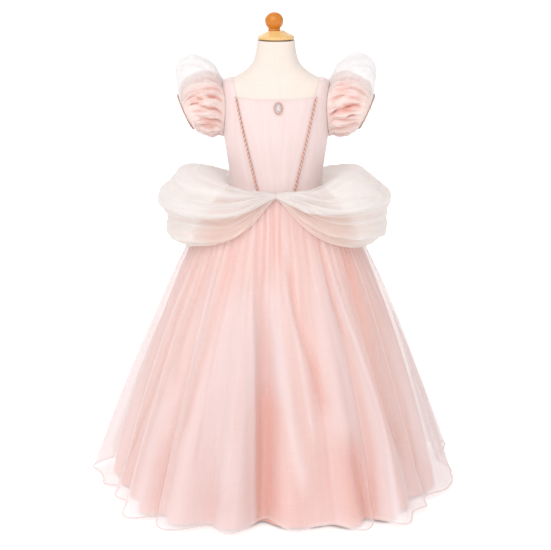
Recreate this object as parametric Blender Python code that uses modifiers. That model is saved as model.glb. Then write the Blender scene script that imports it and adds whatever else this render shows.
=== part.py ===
# Child's princess gown on a limbless dress form.
# Metres, +Z up, front toward -Y, origin at the centre of the foot's underside.
# Azimuth is 0 at the front, 90 at +X, 180 at the back, in degrees.

import math

import bmesh
import bpy
from mathutils import Vector

# Driving dimensions
WALL = 0.0015            # cloth thickness of the bodice
SHEER_WALL = 0.0012      # thickness of skirt, sleeve and puff cloth
SEAM = 0.0004            # gap between neighbouring pieces
BODY_EASE = 0.0024       # gap between the form and the bodice
SHOULDER_EASE = 0.0002   # added to it where the straps bend over the shoulder
SHOULDER_BAND = (0.878, 0.900)
BODY_POWER = 2.6         # squareness of the torso rings
WAIST_Z = 0.6735
NECKLINE_Z = 0.878
NECKLINE_DIP = 0.004
BACK_NECKLINE_Z = 0.868
WAIST_LINE_X = 0.0386    # half width of the centre panel at the waist
NECK_CORNER_X = 0.085    # half width of the neckline
STRAP_INNER_X = 0.095    # strap edges at the shoulder
STRAP_OUTER_X = 0.1165
ARMHOLE_Z = 0.847
ARMHOLE_HALF_HEIGHT = 0.060
ARMHOLE_HALF_DEPTH = 0.042
UNDERARM_Z = ARMHOLE_Z - ARMHOLE_HALF_HEIGHT
SEAM_ANGLE = 0.12        # degrees left clear at each side of a panel seam
SHOULDER_SHARE = 0.70    # part of the side panel's rows that lie in front of the shoulder
PLACKET_HALF = 0.0125    # half width of the strip over the centre back closing
PLACKET_WALL = 0.0012
CORD_RADIUS = 0.0021
BROOCH_X = 0.005
BROOCH_Z = 0.856
BROOCH_HALF = (0.010, 0.014)
BROOCH_PLATE = 0.003
GEM_HALF = (0.0068, 0.0103)
GEM_HEIGHT = 0.0045
HEM_Z = 0.014
SATIN_HEM_Z = 0.018
SKIRT_TOP_Z = WAIST_Z - SEAM
SATIN_FOLD_SHARE = 0.72  # the stiffer satin folds less deeply than the organza
HEM_WAVE_OUT = 0.0045    # ripple of the hem, outward and upward
HEM_WAVE_UP = 0.004
HEM_WAVE_HEIGHT = 0.10   # how far up from the hem it reaches
FOOT_RADIUS = 0.150
FOOT_THICKNESS = 0.014
POLE_RADIUS = 0.016
FORM_BOTTOM_Z = 0.560
CAP_BOTTOM_Z = 1.0000
KNOB_X = -0.004          # the knob sits slightly off the middle of its disc
CUFF_RADIUS = 0.0024
SLEEVE_SEAM_SHARE = 0.18 # part of a sleeve in which it swells out of the armhole
SIDES = (("right", -1), ("left", 1))     # the wearer's right is at -X

# Torso rings: z, half width, half depth
TORSO = (
    (0.560, 0.104, 0.086),
    (0.566, 0.118, 0.098),
    (0.585, 0.124, 0.103),
    (0.625, 0.115, 0.095),
    (0.660, 0.1005, 0.083),
    (0.680, 0.0985, 0.080),
    (0.710, 0.1005, 0.081),
    (0.750, 0.1065, 0.086),
    (0.785, 0.1115, 0.090),
    (0.820, 0.1145, 0.087),
    (0.850, 0.1165, 0.080),
    (0.875, 0.1180, 0.070),
    (0.890, 0.1185, 0.062),
    (0.900, 0.1180, 0.056),
    (0.906, 0.1155, 0.052),
    (0.911, 0.1060, 0.050),
    (0.916, 0.0930, 0.048),
    (0.923, 0.0800, 0.047),
    (0.931, 0.0680, 0.0465),
    (0.941, 0.0575, 0.046),
    (0.954, 0.0490, 0.045),
    (0.975, 0.0440, 0.0425),
    (0.997, 0.0412, 0.0405),
)

# Gown skirt: z, radius of the organza, radius of the satin under it,
# depth against width of its plan, squareness of its plan
SKIRT = (
    (0.010, 0.4080, 0.3640, 1.000, 2.0),
    (0.075, 0.3840, 0.3480, 0.995, 2.0),
    (0.171, 0.3520, 0.3230, 0.985, 2.0),
    (0.270, 0.3170, 0.2930, 0.975, 2.0),
    (0.366, 0.2800, 0.2610, 0.965, 2.0),
    (0.450, 0.2430, 0.2290, 0.950, 2.0),
    (0.535, 0.2010, 0.1920, 0.930, 2.05),
    (0.590, 0.1720, 0.1650, 0.900, 2.1),
    (0.630, 0.1440, 0.1380, 0.870, 2.25),
    (0.660, 0.1160, 0.1120, 0.845, 2.5),
    (0.6735, 0.1048, 0.1028, 0.840, 2.6),
)

# Large folds of the skirt: azimuth, reach at the hem, half width in degrees, height where it starts
# A positive reach is a rounded flute and a negative one a valley
SKIRT_FOLDS = (
    (-4, -0.062, 6.0, 0.64),
    (-13, 0.034, 5.5, 0.60),
    (-21, -0.016, 3.5, 0.58),
    (-31, 0.058, 6.0, 0.56),
    (-38, -0.016, 3.0, 0.50),
    (-45, 0.046, 6.0, 0.50),
    (-56, -0.010, 4.0, 0.56),
    (-68, -0.026, 5.0, 0.45),
    (-80, -0.012, 4.0, 0.54),
    (-91, 0.016, 5.0, 0.40),
    (-103, -0.026, 5.5, 0.56),
    (-117, 0.030, 6.0, 0.50),
    (-130, -0.022, 5.0, 0.55),
    (-143, 0.032, 6.0, 0.52),
    (-157, -0.030, 6.0, 0.58),
    (-171, 0.024, 6.0, 0.50),
    (12, -0.008, 5.0, 0.62),
    (19, -0.020, 3.0, 0.60),
    (25, 0.040, 5.0, 0.56),
    (32, -0.026, 2.8, 0.58),
    (38, 0.048, 6.0, 0.52),
    (49, 0.014, 4.0, 0.48),
    (59, -0.022, 5.0, 0.55),
    (76, 0.006, 4.0, 0.45),
    (84, -0.010, 4.0, 0.50),
    (99, -0.028, 6.0, 0.55),
    (113, 0.032, 6.0, 0.50),
    (127, -0.024, 5.0, 0.57),
    (140, 0.026, 5.5, 0.50),
    (154, -0.032, 6.0, 0.55),
    (168, 0.026, 6.0, 0.52),
    (-179, -0.036, 6.0, 0.60),
)

# Satin sleeve: place along the sleeve, top x, top z, bottom x, bottom z, half depth
SATIN_SLEEVE = (
    (0.00, 0.1230, 0.9050, 0.1190, 0.7880, 0.0440),
    (0.20, 0.1300, 0.9220, 0.1270, 0.7890, 0.0530),
    (0.42, 0.1510, 0.9290, 0.1430, 0.7860, 0.0620),
    (0.66, 0.1780, 0.9240, 0.1590, 0.7900, 0.0600),
    (0.86, 0.2030, 0.9050, 0.1730, 0.7990, 0.0500),
    (1.00, 0.2140, 0.8760, 0.1810, 0.8050, 0.0400),
)

# Organza puff over it, in the same columns
SHEER_SLEEVE = (
    (0.00, 0.1235, 0.9120, 0.1190, 0.7850, 0.0470),
    (0.18, 0.1320, 0.9400, 0.1270, 0.7845, 0.0600),
    (0.36, 0.1530, 0.9560, 0.1420, 0.7810, 0.0690),
    (0.55, 0.1790, 0.9640, 0.1580, 0.7845, 0.0710),
    (0.74, 0.2070, 0.9580, 0.1695, 0.7895, 0.0660),
    (0.89, 0.2215, 0.9270, 0.1760, 0.7950, 0.0550),
    (1.00, 0.2180, 0.8810, 0.1800, 0.8010, 0.0440),
)

# Folds along a sleeve: inset at the armhole, count, height, phase
SATIN_SLEEVE_FOLDS = (0.0042, 11, 0.0030, 0.4)
SHEER_SLEEVE_FOLDS = (0.0017, 7, 0.0040, 1.0)

# Side puff at the waist: azimuth from the front, top z, lowest z, farthest radius
PUFF = (
    (0.1, 0.6740, 0.6620, 0.1200),
    (10, 0.6765, 0.6330, 0.1500),
    (20, 0.6810, 0.6040, 0.1800),
    (33, 0.6890, 0.5770, 0.2080),
    (50, 0.7020, 0.5600, 0.2340),
    (70, 0.7115, 0.5515, 0.2500),
    (90, 0.7145, 0.5490, 0.2550),
    (110, 0.7115, 0.5505, 0.2530),
    (130, 0.7020, 0.5580, 0.2390),
    (147, 0.6890, 0.5730, 0.2150),
    (160, 0.6810, 0.5980, 0.1850),
    (170, 0.6765, 0.6290, 0.1530),
    (179.9, 0.6740, 0.6620, 0.1200),
)
PUFF_FOLDS = 4
PUFF_FOLD_HEIGHT = 0.0055
PUFF_SWELL = 0.006       # longer waves along the puff
PUFF_START = 125         # section angles, from the seam over the top to the tucked edge
PUFF_END = -112
PUFF_CENTRE = 0.42       # place of the section's centre between the waist and its far side
PUFF_CROWDING = 0.06     # draws the columns together toward the two gathered ends
PUFF_SEAM_DROP = 0.004   # how far its seam lies below the waist
PUFF_CLEARANCE = (0.0022, 0.0032)   # between its tucked edge and the skirt, more at its ends

# Neck disc profile: radius, height above its underside
CAP_PROFILE = (
    (0.0, 0.0180),
    (0.0165, 0.0180),
    (0.0185, 0.0165),
    (0.0390, 0.0055),
    (0.0405, 0.0040),
    (0.0405, 0.0010),
    (0.0395, 0.0),
    (0.0300, 0.0),
    (0.0300, -0.0026),
    (0.0, -0.0026),
)
CAP_HEIGHT = CAP_PROFILE[0][1]

# Knob: a ball on a short turned foot, whose profile is radius, height above the disc
BALL_RADIUS = 0.0196
BALL_HALF_HEIGHT = 0.0185
BALL_CENTRE = 0.0215
BALL_STEP = 23           # degrees between the points of its outline
KNOB_FOOT = ((0.0125, 0.0045), (0.0120, 0.0030), (0.0132, 0.0), (0.0, 0.0))

# Mesh densities: around, along
CENTRE_GRID = (8, 8)
SIDE_GRID = (5, 20)
BACK_GRID = (8, 7)
PLACKET_GRID = (2, 8)
CORD_GRID = (7, 12)
CUFF_GRID = (6, 26)
TORSO_GRID = (32, len(TORSO) - 1)
SKIRT_GRID = (48, 7)
SATIN_SKIRT_GRID = (28, 5)
SATIN_SLEEVE_GRID = (40, 6)
SHEER_SLEEVE_GRID = (28, 7)
PUFF_GRID = (18, 16)


def clearScene():
    for item in list(bpy.data.objects):
        bpy.data.objects.remove(item, do_unlink=True)


def makeMaterial(name, color, roughness, metallic=0.0):
    material = bpy.data.materials.new(name)
    material.use_nodes = True
    shader = material.node_tree.nodes["Principled BSDF"]
    shader.inputs["Base Color"].default_value = (*color, 1.0)
    shader.inputs["Roughness"].default_value = roughness
    shader.inputs["Metallic"].default_value = metallic
    return material


def lerp(a, b, share):
    return a + (b - a) * share


def smoothStep(share):
    share = min(1.0, max(0.0, share))
    return share * share * (3 - 2 * share)


def readTable(table, column, key):
    """Monotone cubic reading of one column of a table sorted by its first column."""
    if key <= table[0][0]:
        return table[0][column]
    if key >= table[-1][0]:
        return table[-1][column]
    i = next(n for n in range(len(table) - 1) if key <= table[n + 1][0])
    slopes = [
        (table[n + 1][column] - table[n][column]) / (table[n + 1][0] - table[n][0])
        for n in range(len(table) - 1)
    ]

    def tangent(n):
        if n == 0:
            return slopes[0]
        if n == len(table) - 1:
            return slopes[-1]
        before, after = slopes[n - 1], slopes[n]
        if before * after <= 0:
            return 0.0
        return 2 * before * after / (before + after)

    span = table[i + 1][0] - table[i][0]
    s = (key - table[i][0]) / span
    start, end = table[i][column], table[i + 1][column]
    rise = (2 * s**3 - 3 * s**2 + 1) * start + (3 * s**2 - 2 * s**3) * end
    return rise + span * ((s**3 - 2 * s**2 + s) * tangent(i) + (s**3 - s**2) * tangent(i + 1))


def addObject(name, mesh, material, smooth=True):
    mesh.materials.append(material)
    if smooth:
        mesh.shade_smooth()
        mesh.set_sharp_from_angle(angle=math.radians(50))
    item = bpy.data.objects.new(name, mesh)
    gown.objects.link(item)
    return item


def makeSheet(columns, rows, closed):
    """A grid that carries its u and v on each point; a closed one is joined at u = 0 and 1."""
    bm = bmesh.new()
    bmesh.ops.create_grid(bm, x_segments=columns, y_segments=rows, size=0.5)
    uLayer = bm.verts.layers.float.new("u")
    vLayer = bm.verts.layers.float.new("v")
    for vert in bm.verts:
        vert[uLayer] = vert.co.x + 0.5
        vert[vLayer] = vert.co.y + 0.5
        if closed:
            turn = math.tau * vert[uLayer]
            vert.co = (math.cos(turn), math.sin(turn), vert[vLayer])
    if closed:
        bmesh.ops.remove_doubles(bm, verts=bm.verts, dist=0.0001)
    return bm, uLayer, vLayer


def finishMesh(bm, name):
    bmesh.ops.recalc_face_normals(bm, faces=bm.faces)
    if bm.calc_volume(signed=True) < 0:
        bmesh.ops.reverse_faces(bm, faces=bm.faces)
    mesh = bpy.data.meshes.new(name)
    bm.to_mesh(mesh)
    bm.free()
    return mesh


def makeWall(name, material, grid, point, wall, closed=False):
    """Cloth of even thickness; point(u, v, out) gives the inner face at out = 0."""
    bm, uLayer, vLayer = makeSheet(grid[0], grid[1], closed)
    made = bmesh.ops.extrude_face_region(bm, geom=bm.faces[:], use_keep_orig=True)
    outer = {part for part in made["geom"] if isinstance(part, bmesh.types.BMVert)}
    for vert in bm.verts:
        vert.co = point(vert[uLayer], vert[vLayer], wall if vert in outer else 0.0)
    return addObject(name, finishMesh(bm, name), material)


def makeSolid(name, material, grid, point):
    """A closed tube with flat ends; point(u, v) gives its skin."""
    bm, uLayer, vLayer = makeSheet(grid[0], grid[1], True)
    for vert in bm.verts:
        vert.co = point(vert[uLayer], vert[vLayer])
    rims = [edge for edge in bm.edges if edge.is_boundary]
    bmesh.ops.holes_fill(bm, edges=rims, sides=0)
    return addObject(name, finishMesh(bm, name), material)


def makeTurned(name, material, profile, steps):
    """A turned solid from (radius, z) pairs running down from the top of the axis."""
    mesh = bpy.data.meshes.new(name)
    points = [(radius, 0.0, z) for radius, z in profile]
    mesh.from_pydata(points, [(n, n + 1) for n in range(len(points) - 1)], [])
    item = addObject(name, mesh, material)
    screw = item.modifiers.new("turn", "SCREW")
    screw.steps = steps
    screw.render_steps = steps
    screw.use_merge_vertices = True
    screw.merge_threshold = 0.00002
    return item


def makeCylinder(name, material, radius, bottomZ, topZ, segments):
    bm = bmesh.new()
    bmesh.ops.create_cone(bm, cap_ends=True, segments=segments, radius1=radius,
                          radius2=radius, depth=topZ - bottomZ)
    item = addObject(name, finishMesh(bm, name), material)
    item.location.z = (bottomZ + topZ) / 2
    return item


# The torso and what lies on it

def power(value, exponent):
    return math.copysign(abs(value) ** exponent, value)


def torsoPoint(azimuth, z):
    turn = math.radians(azimuth)
    x = readTable(TORSO, 1, z) * power(math.sin(turn), 2 / BODY_POWER)
    y = -readTable(TORSO, 2, z) * power(math.cos(turn), 2 / BODY_POWER)
    return Vector((x, y, z))


def torsoNormal(azimuth, z):
    across = torsoPoint(azimuth + 1.5, z) - torsoPoint(azimuth - 1.5, z)
    up = torsoPoint(azimuth, z + 0.0015) - torsoPoint(azimuth, z - 0.0015)
    return across.cross(up).normalized()


def onTorso(azimuth, z, out):
    rise = (z - SHOULDER_BAND[0]) / (SHOULDER_BAND[1] - SHOULDER_BAND[0])
    ease = BODY_EASE + SHOULDER_EASE * smoothStep(rise)
    return torsoPoint(azimuth, z) + torsoNormal(azimuth, z) * (ease + out)


def azimuthAtX(x, z):
    share = min(1.0, x / readTable(TORSO, 1, z))
    return math.degrees(math.asin(share ** (BODY_POWER / 2)))


def azimuthAtY(y, z):
    share = min(1.0, y / readTable(TORSO, 2, z))
    return math.degrees(math.acos(share ** (BODY_POWER / 2)))


def shoulderZ(x):
    """Height of the shoulder line at a distance from the middle."""
    low, high = 0.900, 0.931
    for _ in range(40):
        middle = (low + high) / 2
        if readTable(TORSO, 1, middle) > x:
            low = middle
        else:
            high = middle
    return low


def armholeAzimuth(z):
    """Front edge of the armhole, which is an oval on the side of the torso."""
    reach = (z - ARMHOLE_Z) / ARMHOLE_HALF_HEIGHT
    depth = ARMHOLE_HALF_DEPTH * math.sqrt(max(0.0, 1 - reach * reach))
    return azimuthAtY(depth, z)


def princessX(z):
    """Seam between the centre and side panels, under the cord."""
    return lerp(WAIST_LINE_X, NECK_CORNER_X, (z - WAIST_Z) / (NECKLINE_Z - WAIST_Z))


def necklineZ(share):
    """Top edge of the centre panel, dipping in the middle; share runs 0 to 1 across it."""
    return NECKLINE_Z - NECKLINE_DIP * math.sin(math.pi * share)


SHOULDER_IN_Z = shoulderZ(STRAP_INNER_X)
SHOULDER_OUT_Z = shoulderZ(STRAP_OUTER_X)

# Side panel up to the shoulder: share of its length, inner edge z, outer edge z
FRONT_ROWS = (
    (0.000, WAIST_Z, WAIST_Z),
    (0.160, 0.715, 0.708),
    (0.320, 0.765, 0.752),
    (0.450, 0.812, UNDERARM_Z),
    (0.540, 0.846, 0.812),
    (0.620, NECKLINE_Z, 0.842),
    (0.700, 0.8905, 0.868),
    (0.780, 0.9000, 0.887),
    (0.880, 0.9080, 0.899),
    (1.000, SHOULDER_IN_Z, SHOULDER_OUT_Z),
)

# Its strap behind the shoulder, in the same columns
STRAP_ROWS = (
    (0.00, SHOULDER_IN_Z, SHOULDER_OUT_Z),
    (0.25, 0.9085, 0.8990),
    (0.60, 0.8955, 0.8870),
    (1.00, BACK_NECKLINE_Z + SEAM, BACK_NECKLINE_Z + SEAM),
)


def innerEdge(z):
    """Azimuth of the side panel's inner edge: the princess seam, then the strap."""
    if z <= NECKLINE_Z:
        return azimuthAtX(princessX(z), z) + SEAM_ANGLE
    rise = (z - NECKLINE_Z) / (SHOULDER_IN_Z - NECKLINE_Z)
    return azimuthAtX(lerp(NECK_CORNER_X, STRAP_INNER_X, rise), z)


def outerEdge(z):
    """Azimuth of the side seam and, above it, of the armhole."""
    if z <= UNDERARM_Z:
        return 90 - SEAM_ANGLE
    return armholeAzimuth(z)


def sidePanelPoint(side):
    """Side front with its strap, which runs over the shoulder to the back neckline."""
    def point(u, v, out):
        if v <= SHOULDER_SHARE:
            share = v / SHOULDER_SHARE
            innerZ = readTable(FRONT_ROWS, 1, share)
            outerZ = readTable(FRONT_ROWS, 2, share)
            innerAzimuth = innerEdge(innerZ)
        else:
            share = (v - SHOULDER_SHARE) / (1 - SHOULDER_SHARE)
            innerZ = readTable(STRAP_ROWS, 1, share)
            outerZ = readTable(STRAP_ROWS, 2, share)
            innerAzimuth = azimuthAtX(lerp(STRAP_INNER_X, NECK_CORNER_X, share), innerZ)
        azimuth = lerp(innerAzimuth, outerEdge(outerZ), u)
        if v > SHOULDER_SHARE:
            azimuth = 180 - azimuth
        spot = onTorso(azimuth, lerp(innerZ, outerZ, u), out)
        return Vector((side * spot.x, spot.y, spot.z))
    return point


def centrePanelPoint(u, v, out):
    z = lerp(WAIST_Z, necklineZ(u), v)
    reach = azimuthAtX(princessX(min(z, NECKLINE_Z)), z) - SEAM_ANGLE
    return onTorso(lerp(-reach, reach, u), z, out)


def backPanelPoint(side):
    """Half back, from the centre back to the side seam and the armhole."""
    def point(u, v, out):
        z = lerp(WAIST_Z, BACK_NECKLINE_Z, v)
        azimuth = lerp(180 - SEAM_ANGLE, 180 - outerEdge(z), u)
        spot = onTorso(azimuth, z, out)
        return Vector((side * spot.x, spot.y, spot.z))
    return point


# Skirt

def foldShape(azimuth, z):
    """How far the large folds move the skirt out at a height."""
    move = 0.0
    for centre, reach, width, top in SKIRT_FOLDS:
        away = (azimuth - centre + 180) % 360 - 180
        if z < top and abs(away) < 3 * width:
            strength = smoothStep((top - z) / (top - HEM_Z)) ** 0.85
            move += reach * strength * math.exp(-((away / width) ** 2))
    return move


def hemWave(azimuth):
    turn = math.radians(azimuth)
    return 0.6 * math.sin(22 * turn + 0.7) + 0.4 * math.sin(13 * turn + 2.1)


def skirtRing(azimuth, radius, z):
    turn = math.radians(azimuth)
    depth = readTable(SKIRT, 3, z)
    square = 2 / readTable(SKIRT, 4, z)
    x = radius * power(math.sin(turn), square)
    y = -radius * depth * power(math.cos(turn), square)
    return Vector((x, y, z))


def sheerRadius(azimuth, z):
    near = smoothStep(1 - (z - HEM_Z) / HEM_WAVE_HEIGHT)
    return readTable(SKIRT, 1, z) + foldShape(azimuth, z) + HEM_WAVE_OUT * near * hemWave(azimuth)


def satinRadius(azimuth, z):
    return readTable(SKIRT, 2, z) + SATIN_FOLD_SHARE * foldShape(azimuth + 1, z)


def skirtPoint(front, radiusAt, hemZ, wave, bend):
    """Half a skirt, from side seam to side seam and from hem to waist."""
    def point(u, v, out):
        z = lerp(hemZ, SKIRT_TOP_Z, v ** bend)
        start = -90 if front else 90
        azimuth = start + 180 * u
        z += wave * hemWave(azimuth + 4) * smoothStep(1 - (z - hemZ) / HEM_WAVE_HEIGHT)
        radius = radiusAt(azimuth, z)
        gap = math.degrees(SEAM / 2 / radius)
        azimuth = start + gap + (180 - 2 * gap) * u
        return skirtRing(azimuth, radius + out, z)
    return point


# Sleeves

def armholeRing(turn, inset, ahead):
    """The armhole's oval, drawn in by an inset and moved ahead of the torso's side."""
    z = ARMHOLE_Z + (ARMHOLE_HALF_HEIGHT - inset) * math.sin(turn)
    y = -(ARMHOLE_HALF_DEPTH - inset) * math.cos(turn)
    x = torsoPoint(azimuthAtY(abs(y), z), z).x
    return Vector((x + ahead, y, z))


def offsetFrom(base, u, v, out):
    """A point moved off a surface along its own normal."""
    step = 0.004
    lowV = max(0.0, v - step)
    highV = min(1.0, v + step)
    across = base(u + step, v) - base(u - step, v)
    along = base(u, highV) - base(u, lowV)
    return base(u, v) + along.cross(across).normalized() * out


def sleevePoint(side, table, foldTable, inward):
    """A puffed tube from the armhole to the cuff, with folds along its length."""
    inset, folds, foldHeight, phase = foldTable
    phase *= side

    def base(u, v):
        turn = math.tau * u
        top = Vector((readTable(table, 1, v), 0, readTable(table, 2, v)))
        bottom = Vector((readTable(table, 3, v), 0, readTable(table, 4, v)))
        depth = readTable(table, 5, v)
        centre = (top + bottom) / 2
        rise = (top - bottom) / 2
        ring = centre + rise * math.sin(turn) + Vector((0, -depth * math.cos(turn), 0))
        swell = math.sin(math.pi * (0.02 + 0.90 * v))
        crease = math.sin(folds * turn + phase + 1.3 * math.sin(2 * turn) + 0.9 * v)
        crease = crease - 1 if inward else (crease + 1) / 2
        height = foldHeight * swell * crease
        ring += (ring - centre).normalized() * height
        start = armholeRing(turn, inset, BODY_EASE + WALL + 2 * SEAM)
        return start.lerp(ring, smoothStep(v / SLEEVE_SEAM_SHARE))

    def point(u, v, out):
        spot = offsetFrom(base, u, v, out)
        return Vector((side * spot.x, spot.y, spot.z))
    return point


def cuffPoint(side):
    """Round trim just past the end of the sleeve."""
    row = SATIN_SLEEVE[-1]
    top = Vector((row[1], 0, row[2]))
    bottom = Vector((row[3], 0, row[4]))
    centre = (top + bottom) / 2
    rise = (top - bottom) / 2
    normal = Vector((rise.z, 0, -rise.x)).normalized()
    middle = centre + normal * (CUFF_RADIUS + SHEER_WALL + SEAM)

    def point(u, v):
        turn = math.tau * v
        spoke = rise * math.sin(turn) + Vector((0, -row[5] * math.cos(turn), 0))
        away = spoke.normalized()
        swing = math.tau * u
        spot = middle + spoke + away * (CUFF_RADIUS * math.cos(swing))
        spot += normal * (CUFF_RADIUS * math.sin(swing))
        return Vector((side * spot.x, spot.y, spot.z))
    return point


def makeRing(name, material, grid, point):
    """A closed ring of round section."""
    bm, uLayer, vLayer = makeSheet(grid[0], grid[1], True)
    for vert in bm.verts:
        vert.co = point(vert[uLayer], vert[vLayer])
    bmesh.ops.remove_doubles(bm, verts=bm.verts, dist=0.00005)
    return addObject(name, finishMesh(bm, name), material)


# Side puffs

def skirtOutside(azimuth, z):
    return sheerRadius(azimuth, z) + SHEER_WALL


def puffPoint(side):
    """A gathered puff from the waist seam up, over and under to the skirt."""
    def point(u, v, out):
        spread = u - PUFF_CROWDING * math.sin(math.tau * u)
        azimuth = lerp(PUFF[0][0], PUFF[-1][0], spread)
        topZ = readTable(PUFF, 1, azimuth)
        lowZ = readTable(PUFF, 2, azimuth)
        midZ = (topZ + lowZ) / 2
        halfHeight = (topZ - lowZ) / 2
        endTurn = math.radians(PUFF_END)
        endZ = midZ + halfHeight * math.sin(endTurn)
        size = smoothStep(min(u, 1 - u) / 0.30)
        endRadius = skirtOutside(side * azimuth, endZ) + SHEER_WALL + PUFF_CLEARANCE[0]
        endRadius += PUFF_CLEARANCE[1] * (1 - size)
        farRadius = max(readTable(PUFF, 3, azimuth), endRadius + 0.008)
        seamZ = WAIST_Z - PUFF_SEAM_DROP
        seamRadius = skirtOutside(side * azimuth, seamZ) + 4 * SEAM
        turn = math.radians(lerp(PUFF_START, PUFF_END, v))
        highCentre = lerp(seamRadius, farRadius, PUFF_CENTRE)
        lowCentre = (endRadius - farRadius * math.cos(endTurn)) / (1 - math.cos(endTurn))
        centreRadius = lerp(highCentre, lowCentre, smoothStep((math.pi / 2 - turn) / math.pi))
        crease = math.sin(math.tau * PUFF_FOLDS * v + 2.4 * math.sin(math.pi * u) + side * 0.6)
        lift = PUFF_FOLD_HEIGHT * size * crease * math.sin(math.pi * v)
        lift += PUFF_SWELL * size * math.sin(5.5 * math.pi * u + 1.2 * side) * math.sin(math.pi * v)
        radius = centreRadius + (farRadius - centreRadius) * math.cos(turn)
        radius += (lift + out) * math.cos(turn)
        z = midZ + (halfHeight + lift + out) * math.sin(turn)
        seam = smoothStep(v / 0.14)
        radius = lerp(seamRadius + SHEER_WALL - out, radius, seam)
        z = lerp(seamZ, z, seam)
        return skirtRing(side * azimuth, radius, z)
    return point


# Form: foot, pole, torso, cap and knob

def buildForm(jersey, wood, darkWood, metal):
    makeCylinder("form_foot", darkWood, FOOT_RADIUS, 0.0, FOOT_THICKNESS, 32)
    makeCylinder("form_pole", metal, POLE_RADIUS, FOOT_THICKNESS + SEAM,
                 FORM_BOTTOM_Z - SEAM, 16)

    def skin(u, v):
        index = v * (len(TORSO) - 1)
        n = min(int(index), len(TORSO) - 2)
        z = lerp(TORSO[n][0], TORSO[n + 1][0], index - n)
        return torsoPoint(360 * u, z)

    makeSolid("form_torso", jersey, TORSO_GRID, skin)
    makeTurned("form_neck_cap", wood,
               tuple((radius, CAP_BOTTOM_Z + rise) for radius, rise in CAP_PROFILE), 28)
    base = CAP_BOTTOM_Z + CAP_HEIGHT + SEAM
    outline = [(0.0, BALL_CENTRE + BALL_HALF_HEIGHT)]
    for step in range(1, 7):
        angle = math.radians(90 - BALL_STEP * step)
        outline.append((BALL_RADIUS * math.cos(angle),
                        BALL_CENTRE + BALL_HALF_HEIGHT * math.sin(angle)))
    outline.extend(KNOB_FOOT)
    knob = makeTurned("form_knob", wood,
                      tuple((radius, base + rise) for radius, rise in outline), 24)
    knob.location.x = KNOB_X


def buildBodice(satin):
    makeWall("bodice_front", satin, CENTRE_GRID, centrePanelPoint, WALL)
    for name, side in SIDES:
        makeWall("bodice_side_" + name, satin, SIDE_GRID, sidePanelPoint(side), WALL)
        makeWall("bodice_back_" + name, satin, BACK_GRID, backPanelPoint(side), WALL)

    def strip(u, v, out):
        z = lerp(WAIST_Z, BACK_NECKLINE_Z, v)
        reach = azimuthAtX(PLACKET_HALF, z)
        return onTorso(180 + lerp(-reach, reach, u), z, WALL + SEAM * 2 + out)

    makeWall("bodice_placket", satin, PLACKET_GRID, strip, PLACKET_WALL)


def buildCords(gold):
    for name, side in SIDES:
        def point(u, v, side=side):
            z = lerp(WAIST_Z + 0.0005, NECKLINE_Z - 0.0005, v)
            azimuth = azimuthAtX(princessX(z), z)
            normal = torsoNormal(azimuth, z)
            across = normal.cross(Vector((0, 0, 1))).normalized()
            middle = onTorso(azimuth, z, WALL + SEAM + CORD_RADIUS * 1.12)
            turn = math.tau * u
            spot = middle + normal * (CORD_RADIUS * math.cos(turn))
            spot += across * (CORD_RADIUS * math.sin(turn))
            return Vector((side * spot.x, spot.y, spot.z))
        makeSolid("cord_trim_" + name, gold, CORD_GRID, point)


def buildBrooch(gold, crystal):
    azimuth = azimuthAtX(BROOCH_X, BROOCH_Z)
    normal = torsoNormal(azimuth, BROOCH_Z)
    facing = normal.to_track_quat("Z", "Y")
    seat = onTorso(azimuth, BROOCH_Z, WALL + SEAM)
    parts = (
        ("brooch_bezel", gold, BROOCH_HALF, BROOCH_PLATE, 0.0, 0.80, 28),
        ("brooch_gem", crystal, GEM_HALF, GEM_HEIGHT, BROOCH_PLATE + SEAM, 0.45, 12),
    )
    for name, material, half, height, lift, top, segments in parts:
        bm = bmesh.new()
        bmesh.ops.create_cone(bm, cap_ends=True, segments=segments, radius1=1.0,
                              radius2=top, depth=height)
        bmesh.ops.scale(bm, vec=(half[0], half[1], 1.0), verts=bm.verts)
        item = addObject(name, finishMesh(bm, name), material, smooth=False)
        item.rotation_mode = "QUATERNION"
        item.rotation_quaternion = facing
        item.location = seat + normal * (lift + height / 2)


def buildSleeves(satin, organza, gold):
    for name, side in SIDES:
        makeWall("sleeve_satin_" + name, satin, SATIN_SLEEVE_GRID,
                 sleevePoint(side, SATIN_SLEEVE, SATIN_SLEEVE_FOLDS, True),
                 SHEER_WALL, closed=True)
        makeWall("sleeve_organza_" + name, organza, SHEER_SLEEVE_GRID,
                 sleevePoint(side, SHEER_SLEEVE, SHEER_SLEEVE_FOLDS, False),
                 SHEER_WALL, closed=True)
        makeRing("sleeve_cuff_" + name, gold, CUFF_GRID, cuffPoint(side))


def buildSkirts(satin, organza):
    for name, front in (("front", True), ("back", False)):
        makeWall("skirt_satin_" + name, satin, SATIN_SKIRT_GRID,
                 skirtPoint(front, satinRadius, SATIN_HEM_Z, 0.0, 1.0), SHEER_WALL)
        makeWall("skirt_organza_" + name, organza, SKIRT_GRID,
                 skirtPoint(front, sheerRadius, HEM_Z, HEM_WAVE_UP, 1.15), SHEER_WALL)


def buildPuffs(organza):
    for name, side in SIDES:
        makeWall("waist_puff_" + name, organza, PUFF_GRID, puffPoint(side), SHEER_WALL)


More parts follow.
